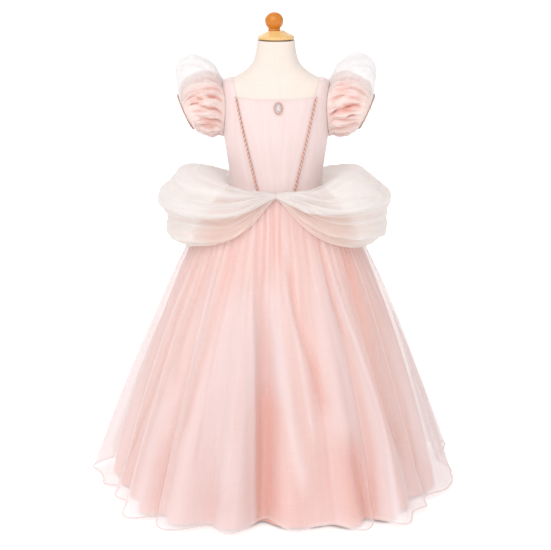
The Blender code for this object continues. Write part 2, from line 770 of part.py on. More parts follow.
clearScene()
gown = bpy.data.collections.new("princess_gown")
bpy.context.scene.collection.children.link(gown)
paleSatin = makeMaterial("pale_satin", (0.90, 0.74, 0.72), 0.42)
peachSatin = makeMaterial("peach_satin", (0.90, 0.62, 0.54), 0.42)
peachOrganza = makeMaterial("peach_organza", (0.93, 0.74, 0.69), 0.55)
ivoryOrganza = makeMaterial("ivory_organza", (0.93, 0.89, 0.85), 0.55)
ivoryJersey = makeMaterial("ivory_jersey", (0.95, 0.87, 0.77), 0.85)
honeyWood = makeMaterial("honey_wood", (0.80, 0.47, 0.17), 0.30)
darkWood = makeMaterial("dark_wood", (0.30, 0.14, 0.06), 0.40)
steel = makeMaterial("steel_tube", (0.55, 0.55, 0.55), 0.35, 1.0)
roseGold = makeMaterial("rose_gold", (0.78, 0.50, 0.40), 0.35, 0.8)
crystal = makeMaterial("crystal", (0.95, 0.93, 0.93), 0.08)

buildForm(ivoryJersey, honeyWood, darkWood, steel)
buildBodice(paleSatin)
buildCords(roseGold)
buildBrooch(roseGold, crystal)
buildSleeves(peachSatin, ivoryOrganza, roseGold)
buildSkirts(peachSatin, peachOrganza)
buildPuffs(ivoryOrganza)
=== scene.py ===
# A child's princess gown on a limbless dress form: its cloth, trims and finishes.
# Metres, +Z up, front toward -Y. Azimuth runs from 0 at the front to 90 at +X, in degrees.

import bisect
import functools
import math

import bmesh
import bpy
from mathutils import Matrix, Vector, noise


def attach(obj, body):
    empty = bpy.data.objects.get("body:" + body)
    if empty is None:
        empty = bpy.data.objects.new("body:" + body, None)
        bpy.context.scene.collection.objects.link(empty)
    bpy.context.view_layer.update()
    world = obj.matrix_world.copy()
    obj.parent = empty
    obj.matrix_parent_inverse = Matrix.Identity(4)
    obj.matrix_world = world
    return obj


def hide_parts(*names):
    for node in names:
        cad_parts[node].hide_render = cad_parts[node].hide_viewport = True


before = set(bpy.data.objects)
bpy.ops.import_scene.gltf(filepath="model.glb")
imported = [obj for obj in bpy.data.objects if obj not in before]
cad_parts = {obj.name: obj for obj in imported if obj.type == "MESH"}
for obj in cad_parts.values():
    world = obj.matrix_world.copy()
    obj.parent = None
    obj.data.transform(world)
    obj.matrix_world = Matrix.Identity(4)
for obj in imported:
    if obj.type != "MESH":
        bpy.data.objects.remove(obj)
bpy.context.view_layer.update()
sides = (("right", -1), ("left", 1))     # the wearer's right is at -X


# Shape helpers

def mix(a, b, share):
    return a + (b - a) * share


def soft(share):
    share = min(1.0, max(0.0, share))
    return share * share * (3 - 2 * share)


def bump(away, width):
    return math.exp(-((away / width) ** 2))


def power(value, exponent):
    return math.copysign(abs(value) ** exponent, value)


def turnAway(a, b):
    return (a - b + 180) % 360 - 180


def curveOf(rows, column):
    # smooth reading of one column of a table that is sorted by its first one, with no overshoot
    keys = [row[0] for row in rows]
    values = [row[column] for row in rows]
    slopes = [(values[n + 1] - values[n]) / (keys[n + 1] - keys[n]) for n in range(len(keys) - 1)]
    tangents = [slopes[0]]
    for before, after in zip(slopes, slopes[1:]):
        tangents.append(2 * before * after / (before + after) if before * after > 0 else 0.0)
    tangents.append(slopes[-1])

    def at(key):
        key = min(max(key, keys[0]), keys[-1])
        i = min(bisect.bisect_right(keys, key) - 1, len(keys) - 2)
        span = keys[i + 1] - keys[i]
        s = (key - keys[i]) / span
        rise = (2 * s**3 - 3 * s**2 + 1) * values[i] + (3 * s**2 - 2 * s**3) * values[i + 1]
        lean = (s**3 - 2 * s**2 + s) * tangents[i] + (s**3 - s**2) * tangents[i + 1]
        return rise + span * lean
    return at


def startSheet(columns, rows, closed):
    # a grid whose points carry u and v; a closed one is a tube joined at u = 0
    bm = bmesh.new()
    bmesh.ops.create_grid(bm, x_segments=columns, y_segments=rows, size=0.5)
    uLayer = bm.verts.layers.float.new("u")
    vLayer = bm.verts.layers.float.new("v")
    for vert in bm.verts:
        vert[uLayer] = vert.co.x + 0.5
        vert[vLayer] = vert.co.y + 0.5
        if closed:
            turn = math.tau * vert[uLayer]
            vert.co = (math.cos(turn), math.sin(turn), vert[vLayer])
    if closed:
        bmesh.ops.remove_doubles(bm, verts=bm.verts, dist=0.0001)
    return bm, uLayer, vLayer


def mapCloth(bm, uLayer, placeAt):
    # a UV map in metres of cloth, unbroken across the seam at u = 0
    uvLayer = bm.loops.layers.uv.new("cloth")
    for face in bm.faces:
        us = [loop.vert[uLayer] for loop in face.loops]
        wraps = max(us) - min(us) > 0.5
        for loop in face.loops:
            u = loop.vert[uLayer]
            if wraps and u < 0.5:
                u += 1
            loop[uvLayer].uv = placeAt(u, loop.vert)


def finishPiece(bm, name, material, nodes=(), smooth=True, sharp=60):
    mesh = bpy.data.meshes.new(name)
    bm.to_mesh(mesh)
    bm.free()
    mesh.materials.append(material)
    if smooth:
        mesh.shade_smooth()
        mesh.set_sharp_from_angle(angle=math.radians(sharp))
    piece = bpy.data.objects.new(name, mesh)
    bpy.context.scene.collection.objects.link(piece)
    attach(piece, "root")
    if nodes:
        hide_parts(*nodes)
    return piece


def addWall(piece, wall):
    # thickness on the outer side, with its rim softened so that it takes the light of the face
    solid = piece.modifiers.new("wall", "SOLIDIFY")
    solid.thickness = wall
    solid.offset = 1.0
    rim = piece.modifiers.new("rim", "BEVEL")
    rim.width = wall * 0.3
    rim.segments = 1
    rim.limit_method = "ANGLE"
    rim.angle_limit = math.radians(62)
    rim.harden_normals = True


def makeCloth(name, material, nodes, grid, flat, point, closed=False, wall=0.0, veil=None):
    # a sheet set by point(u, v), mapped in metres of cloth, with a wall if it is thick
    bm, uLayer, vLayer = startSheet(grid[0], grid[1], closed)
    veilLayer = bm.verts.layers.float.new("veil") if veil else None
    for vert in bm.verts:
        vert.co = point(vert[uLayer], vert[vLayer])
        if veil:
            vert[veilLayer] = veil(vert[uLayer], vert[vLayer])
    bmesh.ops.recalc_face_normals(bm, faces=bm.faces)
    # its face looks away from the form's axis, and a sleeve's away from its own middle
    middle = Vector((0, 0, sum(v.co.z for v in bm.verts) / len(bm.verts)))
    if name.startswith("sleeve"):
        middle = sum((v.co for v in bm.verts), Vector()) / len(bm.verts)
    outward = sum((f.calc_center_median() - middle).dot(f.normal) * f.calc_area() for f in bm.faces)
    if outward < 0:
        bmesh.ops.reverse_faces(bm, faces=bm.faces)
    mapCloth(bm, uLayer, lambda u, vert: (u * flat[0], vert[vLayer] * flat[1]))
    piece = finishPiece(bm, name, material, nodes)
    if wall:
        addWall(piece, wall)
    return piece


def sweepTube(name, material, nodes, grid, middleAt, radius, closed=False):
    # a round tube round middleAt(v), which gives its centre and two directions across
    bm, uLayer, vLayer = startSheet(grid[0], grid[1], True)
    for vert in bm.verts:
        centre, first, second = middleAt(vert[vLayer])
        turn = math.tau * vert[uLayer]
        vert.co = centre + (first * math.cos(turn) + second * math.sin(turn)) * radius
    if closed:
        bmesh.ops.remove_doubles(bm, verts=bm.verts, dist=0.00002)
    else:
        bmesh.ops.holes_fill(bm, edges=[e for e in bm.edges if e.is_boundary], sides=0)
    bmesh.ops.recalc_face_normals(bm, faces=bm.faces)
    if bm.calc_volume(signed=True) < 0:
        bmesh.ops.reverse_faces(bm, faces=bm.faces)
    return finishPiece(bm, name, material, nodes)


def turnedMesh(profile, steps, place=None):
    # a profile of radius and height, spun round the Z axis
    bm = bmesh.new()
    verts = [bm.verts.new((radius, 0, z)) for radius, z in profile]
    edges = [bm.edges.new(pair) for pair in zip(verts, verts[1:])]
    bmesh.ops.spin(bm, geom=verts + edges, cent=(0, 0, 0), axis=(0, 0, 1),
                   angle=math.tau, steps=steps, use_merge=True)
    bmesh.ops.remove_doubles(bm, verts=bm.verts, dist=0.000001)
    bmesh.ops.recalc_face_normals(bm, faces=bm.faces)
    if place:
        bmesh.ops.transform(bm, matrix=place, verts=bm.verts)
    return bm


# Shader groups and finishes

lightLevel = 1.28    # light on the cloth against a plain white of 1, so cloth is that much darker


def srgb(red, green, blue, level=lightLevel):
    return tuple(((c / 255 + 0.055) / 1.055) ** 2.4 / level for c in (red, green, blue)) + (1.0,)


def newGroup(name, inputs, outputs):
    group = bpy.data.node_groups.new(name, "ShaderNodeTree")
    for label, kind, value in inputs:
        socket = group.interface.new_socket(label, in_out="INPUT", socket_type=kind)
        if value is not None:
            socket.default_value = value
    for label, kind in outputs:
        group.interface.new_socket(label, in_out="OUTPUT", socket_type=kind)
    return group, group.nodes.new("NodeGroupInput"), group.nodes.new("NodeGroupOutput")


def calc(tree, operation, *values):
    node = tree.nodes.new("ShaderNodeMath")
    node.operation = operation
    for socket, value in zip(node.inputs, values):
        if isinstance(value, (int, float)):
            socket.default_value = value
        else:
            tree.links.new(value, socket)
    return node.outputs[0]


def stretch(tree, vector, scale):
    node = tree.nodes.new("ShaderNodeMapping")
    node.inputs["Scale"].default_value = scale
    tree.links.new(vector, node.inputs["Vector"])
    return node.outputs[0]


def noiseAt(tree, vector, scale, detail=3.0, rough=0.5):
    node = tree.nodes.new("ShaderNodeTexNoise")
    node.inputs["Scale"].default_value = scale
    node.inputs["Detail"].default_value = detail
    node.inputs["Roughness"].default_value = rough
    tree.links.new(vector, node.inputs["Vector"])
    return node.outputs[0]


def remap(tree, value, low, high, newLow, newHigh):
    node = tree.nodes.new("ShaderNodeMapRange")
    for socket, number in zip(node.inputs[1:5], (low, high, newLow, newHigh)):
        socket.default_value = number
    tree.links.new(value, node.inputs[0])
    return node.outputs[0]


def blendColours(tree, factor, first, second):
    node = tree.nodes.new("ShaderNodeMix")
    node.data_type = "RGBA"
    for socket, value in ((node.inputs[0], factor), (node.inputs[6], first), (node.inputs[7], second)):
        if isinstance(value, (int, float, tuple)):
            socket.default_value = value
        else:
            tree.links.new(value, socket)
    return node.outputs[2]


def blendShaders(tree, factor, first, second):
    node = tree.nodes.new("ShaderNodeMixShader")
    if isinstance(factor, float):
        node.inputs[0].default_value = factor
    else:
        tree.links.new(factor, node.inputs[0])
    tree.links.new(first, node.inputs[1])
    tree.links.new(second, node.inputs[2])
    return node.outputs[0]


def makeWeaveGroup():
    # plain weave in metres of cloth: raised threads, open holes, and uneven yarn
    group, inside, outside = newGroup(
        "plainWeave",
        [("Cloth", "NodeSocketVector", None), ("Threads", "NodeSocketFloat", 900.0)],
        [("Height", "NodeSocketFloat"), ("Holes", "NodeSocketFloat"), ("Yarn", "NodeSocketFloat")])
    split = group.nodes.new("ShaderNodeSeparateXYZ")
    group.links.new(inside.outputs["Cloth"], split.inputs[0])
    waves = []
    for axis in (0, 1):
        turns = calc(group, "MULTIPLY", split.outputs[axis], inside.outputs["Threads"])
        waves.append(calc(group, "SINE", calc(group, "MULTIPLY", turns, math.tau)))
    both = calc(group, "MULTIPLY", waves[0], waves[1])
    total = calc(group, "ADD", calc(group, "ABSOLUTE", waves[0]), calc(group, "ABSOLUTE", waves[1]))
    height = calc(group, "ADD", calc(group, "MULTIPLY", both, 0.5), calc(group, "MULTIPLY", total, 0.5))
    lengthwise = noiseAt(group, stretch(group, inside.outputs["Cloth"], (420, 14, 1)), 1.0, 2.0)
    crosswise = noiseAt(group, stretch(group, inside.outputs["Cloth"], (14, 420, 1)), 1.0, 2.0)
    group.links.new(height, outside.inputs["Height"])
    group.links.new(remap(group, total, 0.2, 1.2, 1.0, 0.0), outside.inputs["Holes"])
    group.links.new(calc(group, "MULTIPLY", calc(group, "ADD", lengthwise, crosswise), 0.5),
                    outside.inputs["Yarn"])
    return group


def makeSatinGroup():
    # long floats on the face of satin: fine streaks along the cloth and soft handling marks
    group, inside, outside = newGroup(
        "satinFloats",
        [("Cloth", "NodeSocketVector", None)],
        [("Streak", "NodeSocketFloat"), ("Crush", "NodeSocketFloat")])
    cloth = inside.outputs["Cloth"]
    fine = noiseAt(group, stretch(group, cloth, (1600, 45, 1)), 1.0, 2.0)
    broad = noiseAt(group, stretch(group, cloth, (90, 6, 1)), 1.0, 3.0)
    group.links.new(calc(group, "MULTIPLY", calc(group, "ADD", fine, broad), 0.5),
                    outside.inputs["Streak"])
    group.links.new(noiseAt(group, stretch(group, cloth, (34, 15, 1)), 1.0, 4.0, 0.6),
                    outside.inputs["Crush"])
    return group


def makeGrainGroup():
    # turned wood: grain in bent bands, with fine pores
    group, inside, outside = newGroup(
        "turnedGrain",
        [("Place", "NodeSocketVector", None), ("Rings", "NodeSocketFloat", 160.0)],
        [("Ring", "NodeSocketFloat"), ("Pore", "NodeSocketFloat")])
    wave = group.nodes.new("ShaderNodeTexWave")
    wave.bands_direction = "X"
    wave.inputs["Distortion"].default_value = 5.0
    wave.inputs["Detail"].default_value = 3.0
    wave.inputs["Detail Scale"].default_value = 0.8
    group.links.new(inside.outputs["Rings"], wave.inputs["Scale"])
    group.links.new(stretch(group, inside.outputs["Place"], (1.0, 0.35, 0.5)), wave.inputs["Vector"])
    group.links.new(wave.outputs["Fac"], outside.inputs["Ring"])
    group.links.new(noiseAt(group, stretch(group, inside.outputs["Place"], (1400, 260, 260)), 1.0),
                    outside.inputs["Pore"])
    return group


weaveGroup = makeWeaveGroup()
satinGroup = makeSatinGroup()
grainGroup = makeGrainGroup()


def startMaterial(name, settings):
    material = bpy.data.materials.new(name)
    material.use_nodes = True
    shader = material.node_tree.nodes["Principled BSDF"]
    for label, value in settings.items():
        shader.inputs[label].default_value = value
    return material, material.node_tree, shader


def clothCoords(tree):
    node = tree.nodes.new("ShaderNodeUVMap")
    node.uv_map = "cloth"
    return node.outputs[0]


def objectCoords(tree):
    return tree.nodes.new("ShaderNodeTexCoord").outputs["Object"]


def useGroup(tree, group, links, values=()):
    node = tree.nodes.new("ShaderNodeGroup")
    node.node_tree = group
    for label, source in links.items():
        tree.links.new(source, node.inputs[label])
    for label, value in dict(values).items():
        node.inputs[label].default_value = value
    return node.outputs


def addBump(tree, shader, height, strength, distance):
    node = tree.nodes.new("ShaderNodeBump")
    node.inputs["Strength"].default_value = strength
    node.inputs["Distance"].default_value = distance
    tree.links.new(height, node.inputs["Height"])
    tree.links.new(node.outputs[0], shader.inputs["Normal"])


def satinMaterial(name, light, deep, hollowShade, roughness):
    # its colour in the valleys, where the piece's veil is 1, is painted shade
    material, tree, shader = startMaterial(name, {
        "Sheen Weight": 0.25, "Sheen Roughness": 0.35, "Specular IOR Level": 0.35})
    cloth = clothCoords(tree)
    satin = useGroup(tree, satinGroup, {"Cloth": cloth})
    weave = useGroup(tree, weaveGroup, {"Cloth": cloth}, {"Threads": 1500.0})
    shade = remap(tree, satin["Streak"], 0.35, 0.65, 0.0, 1.0)
    colour = blendColours(tree, shade, deep, light)
    colour = blendColours(tree, remap(tree, satin["Crush"], 0.45, 0.75, 0.0, 0.22), colour, deep)
    valleyShade = tree.nodes.new("ShaderNodeAttribute")
    valleyShade.attribute_name = "veil"
    tree.links.new(blendColours(tree, valleyShade.outputs["Fac"], colour, hollowShade), shader.inputs["Base Color"])
    tree.links.new(remap(tree, satin["Crush"], 0.3, 0.7, roughness - 0.05, roughness + 0.08),
                   shader.inputs["Roughness"])
    height = calc(tree, "ADD", calc(tree, "MULTIPLY", weave["Height"], 0.25), satin["Streak"])
    addBump(tree, shader, height, 0.07, 0.0005)
    return material


def organzaMaterial(name, light, deep, clear, dense):
    # clear and dense are its cover where the piece's veil is 0 and 1, and its colour runs from deep to light
    # as the veil rises, which carries the piece's painted light and painted shade; a third of the light goes
    # through
    material, tree, shader = startMaterial(name, {
        "Sheen Weight": 0.45, "Sheen Roughness": 0.3, "Specular IOR Level": 0.4})
    cloth = clothCoords(tree)
    weave = useGroup(tree, weaveGroup, {"Cloth": cloth}, {"Threads": 1100.0})
    veil = tree.nodes.new("ShaderNodeAttribute")
    veil.attribute_name = "veil"
    cover = remap(tree, veil.outputs["Fac"], 0.0, 1.0, clear, dense)
    cover = calc(tree, "ADD", cover, remap(tree, weave["Yarn"], 0.3, 0.7, -0.02, 0.02))
    cover = calc(tree, "SUBTRACT", cover, calc(tree, "MULTIPLY", weave["Holes"], 0.04))
    shade = remap(tree, veil.outputs["Fac"], 0.1, 0.7, 0.0, 1.0)
    shade = calc(tree, "ADD", shade, remap(tree, weave["Yarn"], 0.3, 0.7, -0.1, 0.1))
    colour = blendColours(tree, shade, deep, light)
    tree.links.new(colour, shader.inputs["Base Color"])
    tree.links.new(remap(tree, weave["Yarn"], 0.3, 0.7, 0.62, 0.48), shader.inputs["Roughness"])
    addBump(tree, shader, weave["Height"], 0.08, 0.0002)
    through = tree.nodes.new("ShaderNodeBsdfTranslucent")
    tree.links.new(colour, through.inputs["Color"])
    thread = blendShaders(tree, 0.35, shader.outputs[0], through.outputs[0])
    opening = tree.nodes.new("ShaderNodeBsdfTransparent").outputs[0]
    tree.links.new(blendShaders(tree, cover, opening, thread),
                   tree.nodes["Material Output"].inputs["Surface"])
    return material


def jerseyMaterial():
    material, tree, shader = startMaterial("ivoryJersey", {
        "Sheen Weight": 0.3, "Sheen Roughness": 0.5, "Specular IOR Level": 0.2})
    cloth = clothCoords(tree)
    weave = useGroup(tree, weaveGroup, {"Cloth": cloth}, {"Threads": 620.0})
    handled = noiseAt(tree, stretch(tree, cloth, (9, 9, 1)), 1.0, 4.0)
    colour = blendColours(tree, remap(tree, weave["Yarn"], 0.3, 0.7, 0.0, 1.0),
                          srgb(249, 233, 221), srgb(252, 240, 231))
    colour = blendColours(tree, remap(tree, handled, 0.4, 0.8, 0.0, 0.35), colour, srgb(247, 228, 213))
    tree.links.new(colour, shader.inputs["Base Color"])
    tree.links.new(remap(tree, handled, 0.3, 0.7, 0.78, 0.9), shader.inputs["Roughness"])
    addBump(tree, shader, weave["Height"], 0.3, 0.0005)
    return material


def woodMaterial(name, light, dark, roughness, coat, rings):
    material, tree, shader = startMaterial(name, {
        "Coat Weight": coat, "Coat Roughness": 0.12, "Specular IOR Level": 0.5})
    place = objectCoords(tree)
    grain = useGroup(tree, grainGroup, {"Place": place}, {"Rings": rings})
    colour = blendColours(tree, remap(tree, grain["Ring"], 0.1, 0.95, 0.0, 0.8), light, dark)
    colour = blendColours(tree, remap(tree, grain["Pore"], 0.58, 0.75, 0.0, 0.16), colour, dark)
    tree.links.new(colour, shader.inputs["Base Color"])
    rubbed = noiseAt(tree, stretch(tree, place, (60, 60, 60)), 1.0, 4.0)
    tree.links.new(remap(tree, rubbed, 0.3, 0.7, roughness - 0.06, roughness + 0.1),
                   shader.inputs["Roughness"])
    addBump(tree, shader, grain["Pore"], 0.08, 0.0003)
    return material


def metalMaterial(name, light, dark, roughness, metallic, fibre):
    # metallic yarn or plated metal, with tarnish in patches; fibre is the bump of its strands
    material, tree, shader = startMaterial(name, {"Metallic": metallic, "Specular IOR Level": 0.5})
    place = objectCoords(tree)
    tarnish = noiseAt(tree, stretch(tree, place, (260, 260, 260)), 1.0, 4.0, 0.6)
    strands = noiseAt(tree, stretch(tree, place, (3200, 3200, 900)), 1.0, 2.0)
    colour = blendColours(tree, remap(tree, tarnish, 0.35, 0.65, 0.0, 1.0), light, dark)
    tree.links.new(colour, shader.inputs["Base Color"])
    tree.links.new(remap(tree, tarnish, 0.3, 0.7, roughness - 0.08, roughness + 0.12),
                   shader.inputs["Roughness"])
    addBump(tree, shader, strands, fibre, 0.0004)
    return material


def crystalMaterial():
    material, tree, shader = startMaterial("clearCrystal", {
        "Transmission Weight": 0.15, "IOR": 1.55, "Specular IOR Level": 0.6})
    place = objectCoords(tree)
    # darker patches in the stone's colour: painted shade for the dark facets of a cut stone; the same patches
    # vary its roughness
    facetShade = noiseAt(tree, stretch(tree, place, (420, 420, 420)), 1.0, 2.0)
    tree.links.new(blendColours(tree, remap(tree, facetShade, 0.44, 0.56, 0.0, 1.0),
                                srgb(250, 244, 244), srgb(190, 168, 166)),
                   shader.inputs["Base Color"])
    tree.links.new(remap(tree, facetShade, 0.3, 0.7, 0.02, 0.07), shader.inputs["Roughness"])
    return material


finishes = {
    # satins: lit colour, deep colour, painted shade colour for the hollows, roughness
    # organzas: lit colour, deep colour, cover where the veil is 0 and where it is 1
    "paleSatin": satinMaterial(
        "paleSatin", srgb(247, 227, 224), srgb(242, 216, 213), srgb(241, 203, 196), 0.42),
    "peachSatin": satinMaterial(
        "peachSatin", srgb(253, 214, 203), srgb(249, 199, 187), srgb(243, 168, 151), 0.40),
    "blushSatin": satinMaterial(
        "blushSatin", srgb(255, 238, 232), srgb(254, 224, 215), srgb(243, 156, 134), 0.34),
    "peachOrganza": organzaMaterial(
        "peachOrganza", srgb(251, 244, 246, 1.10), srgb(246, 230, 228, 1.08), 0.20, 0.76),
    "whiteOrganza": organzaMaterial(
        "whiteOrganza", srgb(252, 251, 252, 1.12), srgb(249, 243, 243, 1.10), 0.12, 0.78),
    "ivoryOrganza": organzaMaterial(
        "ivoryOrganza", srgb(250, 246, 243, 1.12), srgb(252, 233, 222, 1.07), 0.50, 0.92),
    "rolledHem": organzaMaterial(
        "rolledHem", srgb(252, 244, 243, 1.10), srgb(248, 234, 231, 1.10), 0.80, 0.92),
    "ivoryJersey": jerseyMaterial(),
    "honeyWood": woodMaterial("honeyWood", srgb(254, 212, 142), srgb(244, 184, 106), 0.35, 0.4, 120.0),
    "amberWood": woodMaterial("amberWood", srgb(232, 142, 14), srgb(200, 104, 4), 0.24, 0.18, 120.0),
    "darkWood": woodMaterial("darkWood", srgb(120, 72, 40), srgb(80, 44, 24), 0.4, 0.4, 30.0),
    "roseGoldCord": metalMaterial("roseGoldCord", srgb(255, 226, 212), srgb(244, 198, 180), 0.42, 0.1, 0.4),
    "bronzeCord": metalMaterial("bronzeCord", srgb(226, 164, 140), srgb(196, 130, 108), 0.42, 0.1, 0.4),
    "roseGoldMetal": metalMaterial("roseGoldMetal", srgb(252, 224, 212), srgb(228, 178, 164), 0.26, 0.4, 0.1),
    "steelTube": metalMaterial("steelTube", srgb(196, 196, 198), srgb(168, 168, 170), 0.3, 1.0, 0.1),
    "clearCrystal": crystalMaterial(),
}
print("finishes ready")


# Dress form: torso cover, neck disc, knob, pole and foot

torso = {
    "rings": (  # z, half width, half depth
        (0.560, 0.104, 0.086), (0.566, 0.118, 0.098), (0.585, 0.124, 0.103),
        (0.625, 0.115, 0.095), (0.660, 0.1005, 0.083), (0.680, 0.0985, 0.080),
        (0.710, 0.1005, 0.081), (0.750, 0.1065, 0.086), (0.785, 0.1115, 0.090),
        (0.820, 0.1145, 0.087), (0.850, 0.1165, 0.080), (0.875, 0.1180, 0.070),
        (0.890, 0.1185, 0.062), (0.900, 0.1180, 0.056), (0.906, 0.1155, 0.052),
        (0.911, 0.1060, 0.050), (0.916, 0.0930, 0.048), (0.923, 0.0800, 0.047),
        (0.931, 0.0680, 0.0465), (0.941, 0.0575, 0.046), (0.954, 0.0490, 0.045),
        (0.975, 0.0440, 0.0425), (0.997, 0.0412, 0.0405)),
    "squareness": 2.6,
    "girth": 0.62,
    "grid": (112, 110),
}
halfWidth = curveOf(torso["rings"], 1)
halfDepth = curveOf(torso["rings"], 2)


def bodyPoint(azimuth, z):
    turn = math.radians(azimuth)
    square = 2 / torso["squareness"]
    return Vector((halfWidth(z) * power(math.sin(turn), square),
                   -halfDepth(z) * power(math.cos(turn), square), z))


def bodyNormal(azimuth, z):
    across = bodyPoint(azimuth + 1.5, z) - bodyPoint(azimuth - 1.5, z)
    up = bodyPoint(azimuth, z + 0.0015) - bodyPoint(azimuth, z - 0.0015)
    return across.cross(up).normalized()


def azimuthAtX(x, z):
    share = min(1.0, x / halfWidth(z))
    return math.degrees(math.asin(share ** (torso["squareness"] / 2)))


def azimuthAtY(y, z):
    share = min(1.0, y / halfDepth(z))
    return math.degrees(math.acos(share ** (torso["squareness"] / 2)))


def buildForm():
    bm, uLayer, vLayer = startSheet(torso["grid"][0], torso["grid"][1], True)
    rings = torso["rings"]
    for vert in bm.verts:
        index = vert[vLayer] * (len(rings) - 1)
        n = min(int(index), len(rings) - 2)
        z = mix(rings[n][0], rings[n + 1][0], index - n)
        vert.co = bodyPoint(360 * vert[uLayer], z)
    mapCloth(bm, uLayer, lambda u, vert: (u * torso["girth"], vert.co.z))
    bmesh.ops.holes_fill(bm, edges=[e for e in bm.edges if e.is_boundary], sides=0)
    bmesh.ops.recalc_face_normals(bm, faces=bm.faces)
    finishPiece(bm, "form_cover", finishes["ivoryJersey"], ["form_torso"])

    neckDisc = {
        "bottom": 1.0000,
        "profile": ((0.0, 0.0180), (0.0160, 0.0180), (0.0178, 0.0176), (0.0187, 0.0165),
                    (0.0240, 0.0139), (0.0300, 0.0108), (0.0360, 0.0074), (0.0390, 0.0056),
                    (0.0402, 0.0045), (0.0405, 0.0032), (0.0405, 0.0016), (0.0402, 0.0006),
                    (0.0395, 0.0), (0.0300, 0.0), (0.0300, -0.0026), (0.0, -0.0026)),
    }
    discPlace = Matrix.Translation((0, 0, neckDisc["bottom"]))
    bm = turnedMesh(neckDisc["profile"], 72, discPlace)
    finishPiece(bm, "neck_disc", finishes["honeyWood"], ["form_neck_cap"], sharp=38)

    knob = {"x": -0.004, "base": 1.0184, "radius": 0.0203, "halfHeight": 0.0198, "centre": 0.0203,
            "steps": 32, "stepAngle": 4.3}
    profile = [(0.0, knob["centre"] + knob["halfHeight"])]
    for step in range(1, knob["steps"] + 1):
        angle = math.radians(90 - knob["stepAngle"] * step)
        profile.append((knob["radius"] * math.cos(angle),
                        knob["centre"] + knob["halfHeight"] * math.sin(angle)))
    profile += [(0.0128, 0.0030), (0.0127, 0.0022), (0.0130, 0.0014), (0.0133, 0.0008),
                (0.0132, 0.0), (0.0, 0.0)]
    bm = turnedMesh(profile, 64, Matrix.Translation((knob["x"], 0, knob["base"])))
    finishPiece(bm, "turned_knob", finishes["amberWood"], ["form_knob"], sharp=40)

    for node, finish in (("form_foot", "darkWood"), ("form_pole", "steelTube")):
        carried = bpy.data.objects[node]
        for slot in carried.material_slots:
            slot.material = finishes[finish]


# Bodice

bodice = {
    "wall": 0.0011,
    "ease": 0.0026,
    "waist": 0.6735,
    "neckline": 0.878,
    "dip": 0.004,
    "backNeckline": 0.868,
    "waistLineX": 0.0386,
    "neckCornerX": 0.085,
    "strapX": (0.095, 0.1165),
    "armhole": (0.847, 0.060, 0.042),    # centre height, half height, half depth
    "underarm": 0.787,
    "seamAngle": 0.03,
    "shoulderShare": 0.70,
    "placketHalf": 0.0125,
    "placketLift": 0.0024,
    "crumple": 0.00018,
    "cutEdges": (0.40, 0.50),    # share of a side front where its inner and outer edges turn in
    "edgeDepth": 0.0023,
    "edgeWidth": 0.0040,
    "drags": (  # x and z of both ends, half width, lift; soft pulls in the satin
        (-0.018, 0.845, -0.034, 0.790, 0.0050, 0.00045),
        (0.020, 0.842, 0.036, 0.800, 0.0055, 0.00040),
        (-0.008, 0.800, -0.014, 0.720, 0.0080, 0.00050),
        (0.016, 0.790, 0.012, 0.705, 0.0075, -0.00045),
        (0.030, 0.760, 0.022, 0.700, 0.0050, 0.00035),
        (-0.030, 0.770, -0.024, 0.700, 0.0050, -0.00035),
        (-0.078, 0.790, -0.066, 0.700, 0.0060, 0.00070),
        (-0.090, 0.776, -0.084, 0.705, 0.0045, -0.00070),
        (0.080, 0.785, 0.070, 0.700, 0.0060, 0.00070),
        (0.092, 0.770, 0.088, 0.712, 0.0045, -0.00065),
        (-0.100, 0.830, -0.082, 0.812, 0.0040, -0.00060),
        (0.101, 0.828, 0.084, 0.812, 0.0040, -0.00060),
        (-0.088, 0.868, -0.098, 0.838, 0.0050, 0.00050),
        (0.089, 0.866, 0.100, 0.838, 0.0050, 0.00050)),
}


def shoulderHeight(x):
    low, high = 0.900, 0.931
    for _ in range(40):
        middle = (low + high) / 2
        if halfWidth(middle) > x:
            low = middle
        else:
            high = middle
    return low


def dragLift(x, z):
    lift = 0.0
    for x0, z0, x1, z1, width, height in bodice["drags"]:
        run = Vector((x1 - x0, z1 - z0))
        place = Vector((x - x0, z - z0)).dot(run) / run.length_squared
        near = Vector((x0, z0)) + run * min(1.0, max(0.0, place))
        away = (Vector((x, z)) - near).length
        lift += height * bump(away, width)
    return lift


def edgeTurn(away):
    # the folded edge of a panel bends in toward the form
    return -bodice["edgeDepth"] * bump(max(0.0, away), bodice["edgeWidth"])


def onBody(azimuth, z, out):
    spot = bodyPoint(azimuth, z)
    lift = dragLift(spot.x, z) if z > bodice["waist"] + 0.002 else 0.0
    crumple = bodice["crumple"] * noise.noise(Vector((spot.x * 60, spot.y * 60 + 5, z * 34)))
    return spot + bodyNormal(azimuth, z) * (bodice["ease"] + out + lift + crumple)


shoulderIn = shoulderHeight(bodice["strapX"][0])
shoulderOut = shoulderHeight(bodice["strapX"][1])
frontRows = (  # share of the panel's length, inner edge z, outer edge z
    (0.000, 0.6735, 0.6735), (0.160, 0.715, 0.708), (0.320, 0.765, 0.752), (0.450, 0.812, 0.787),
    (0.540, 0.846, 0.812), (0.620, 0.878, 0.842), (0.700, 0.8905, 0.868), (0.780, 0.9000, 0.887),
    (0.880, 0.9080, 0.899), (1.000, shoulderIn, shoulderOut))
strapRows = (
    (0.00, shoulderIn, shoulderOut), (0.25, 0.9085, 0.8990), (0.60, 0.8955, 0.8870),
    (1.00, 0.8684, 0.8684))
frontInner, frontOuter = curveOf(frontRows, 1), curveOf(frontRows, 2)
strapInner, strapOuter = curveOf(strapRows, 1), curveOf(strapRows, 2)


def armholeAzimuth(z):
    middle, halfHeight, depth = bodice["armhole"]
    reach = (z - middle) / halfHeight
    return azimuthAtY(depth * math.sqrt(max(0.0, 1 - reach * reach)), z)


def seamX(z):
    share = (z - bodice["waist"]) / (bodice["neckline"] - bodice["waist"])
    return mix(bodice["waistLineX"], bodice["neckCornerX"], share)


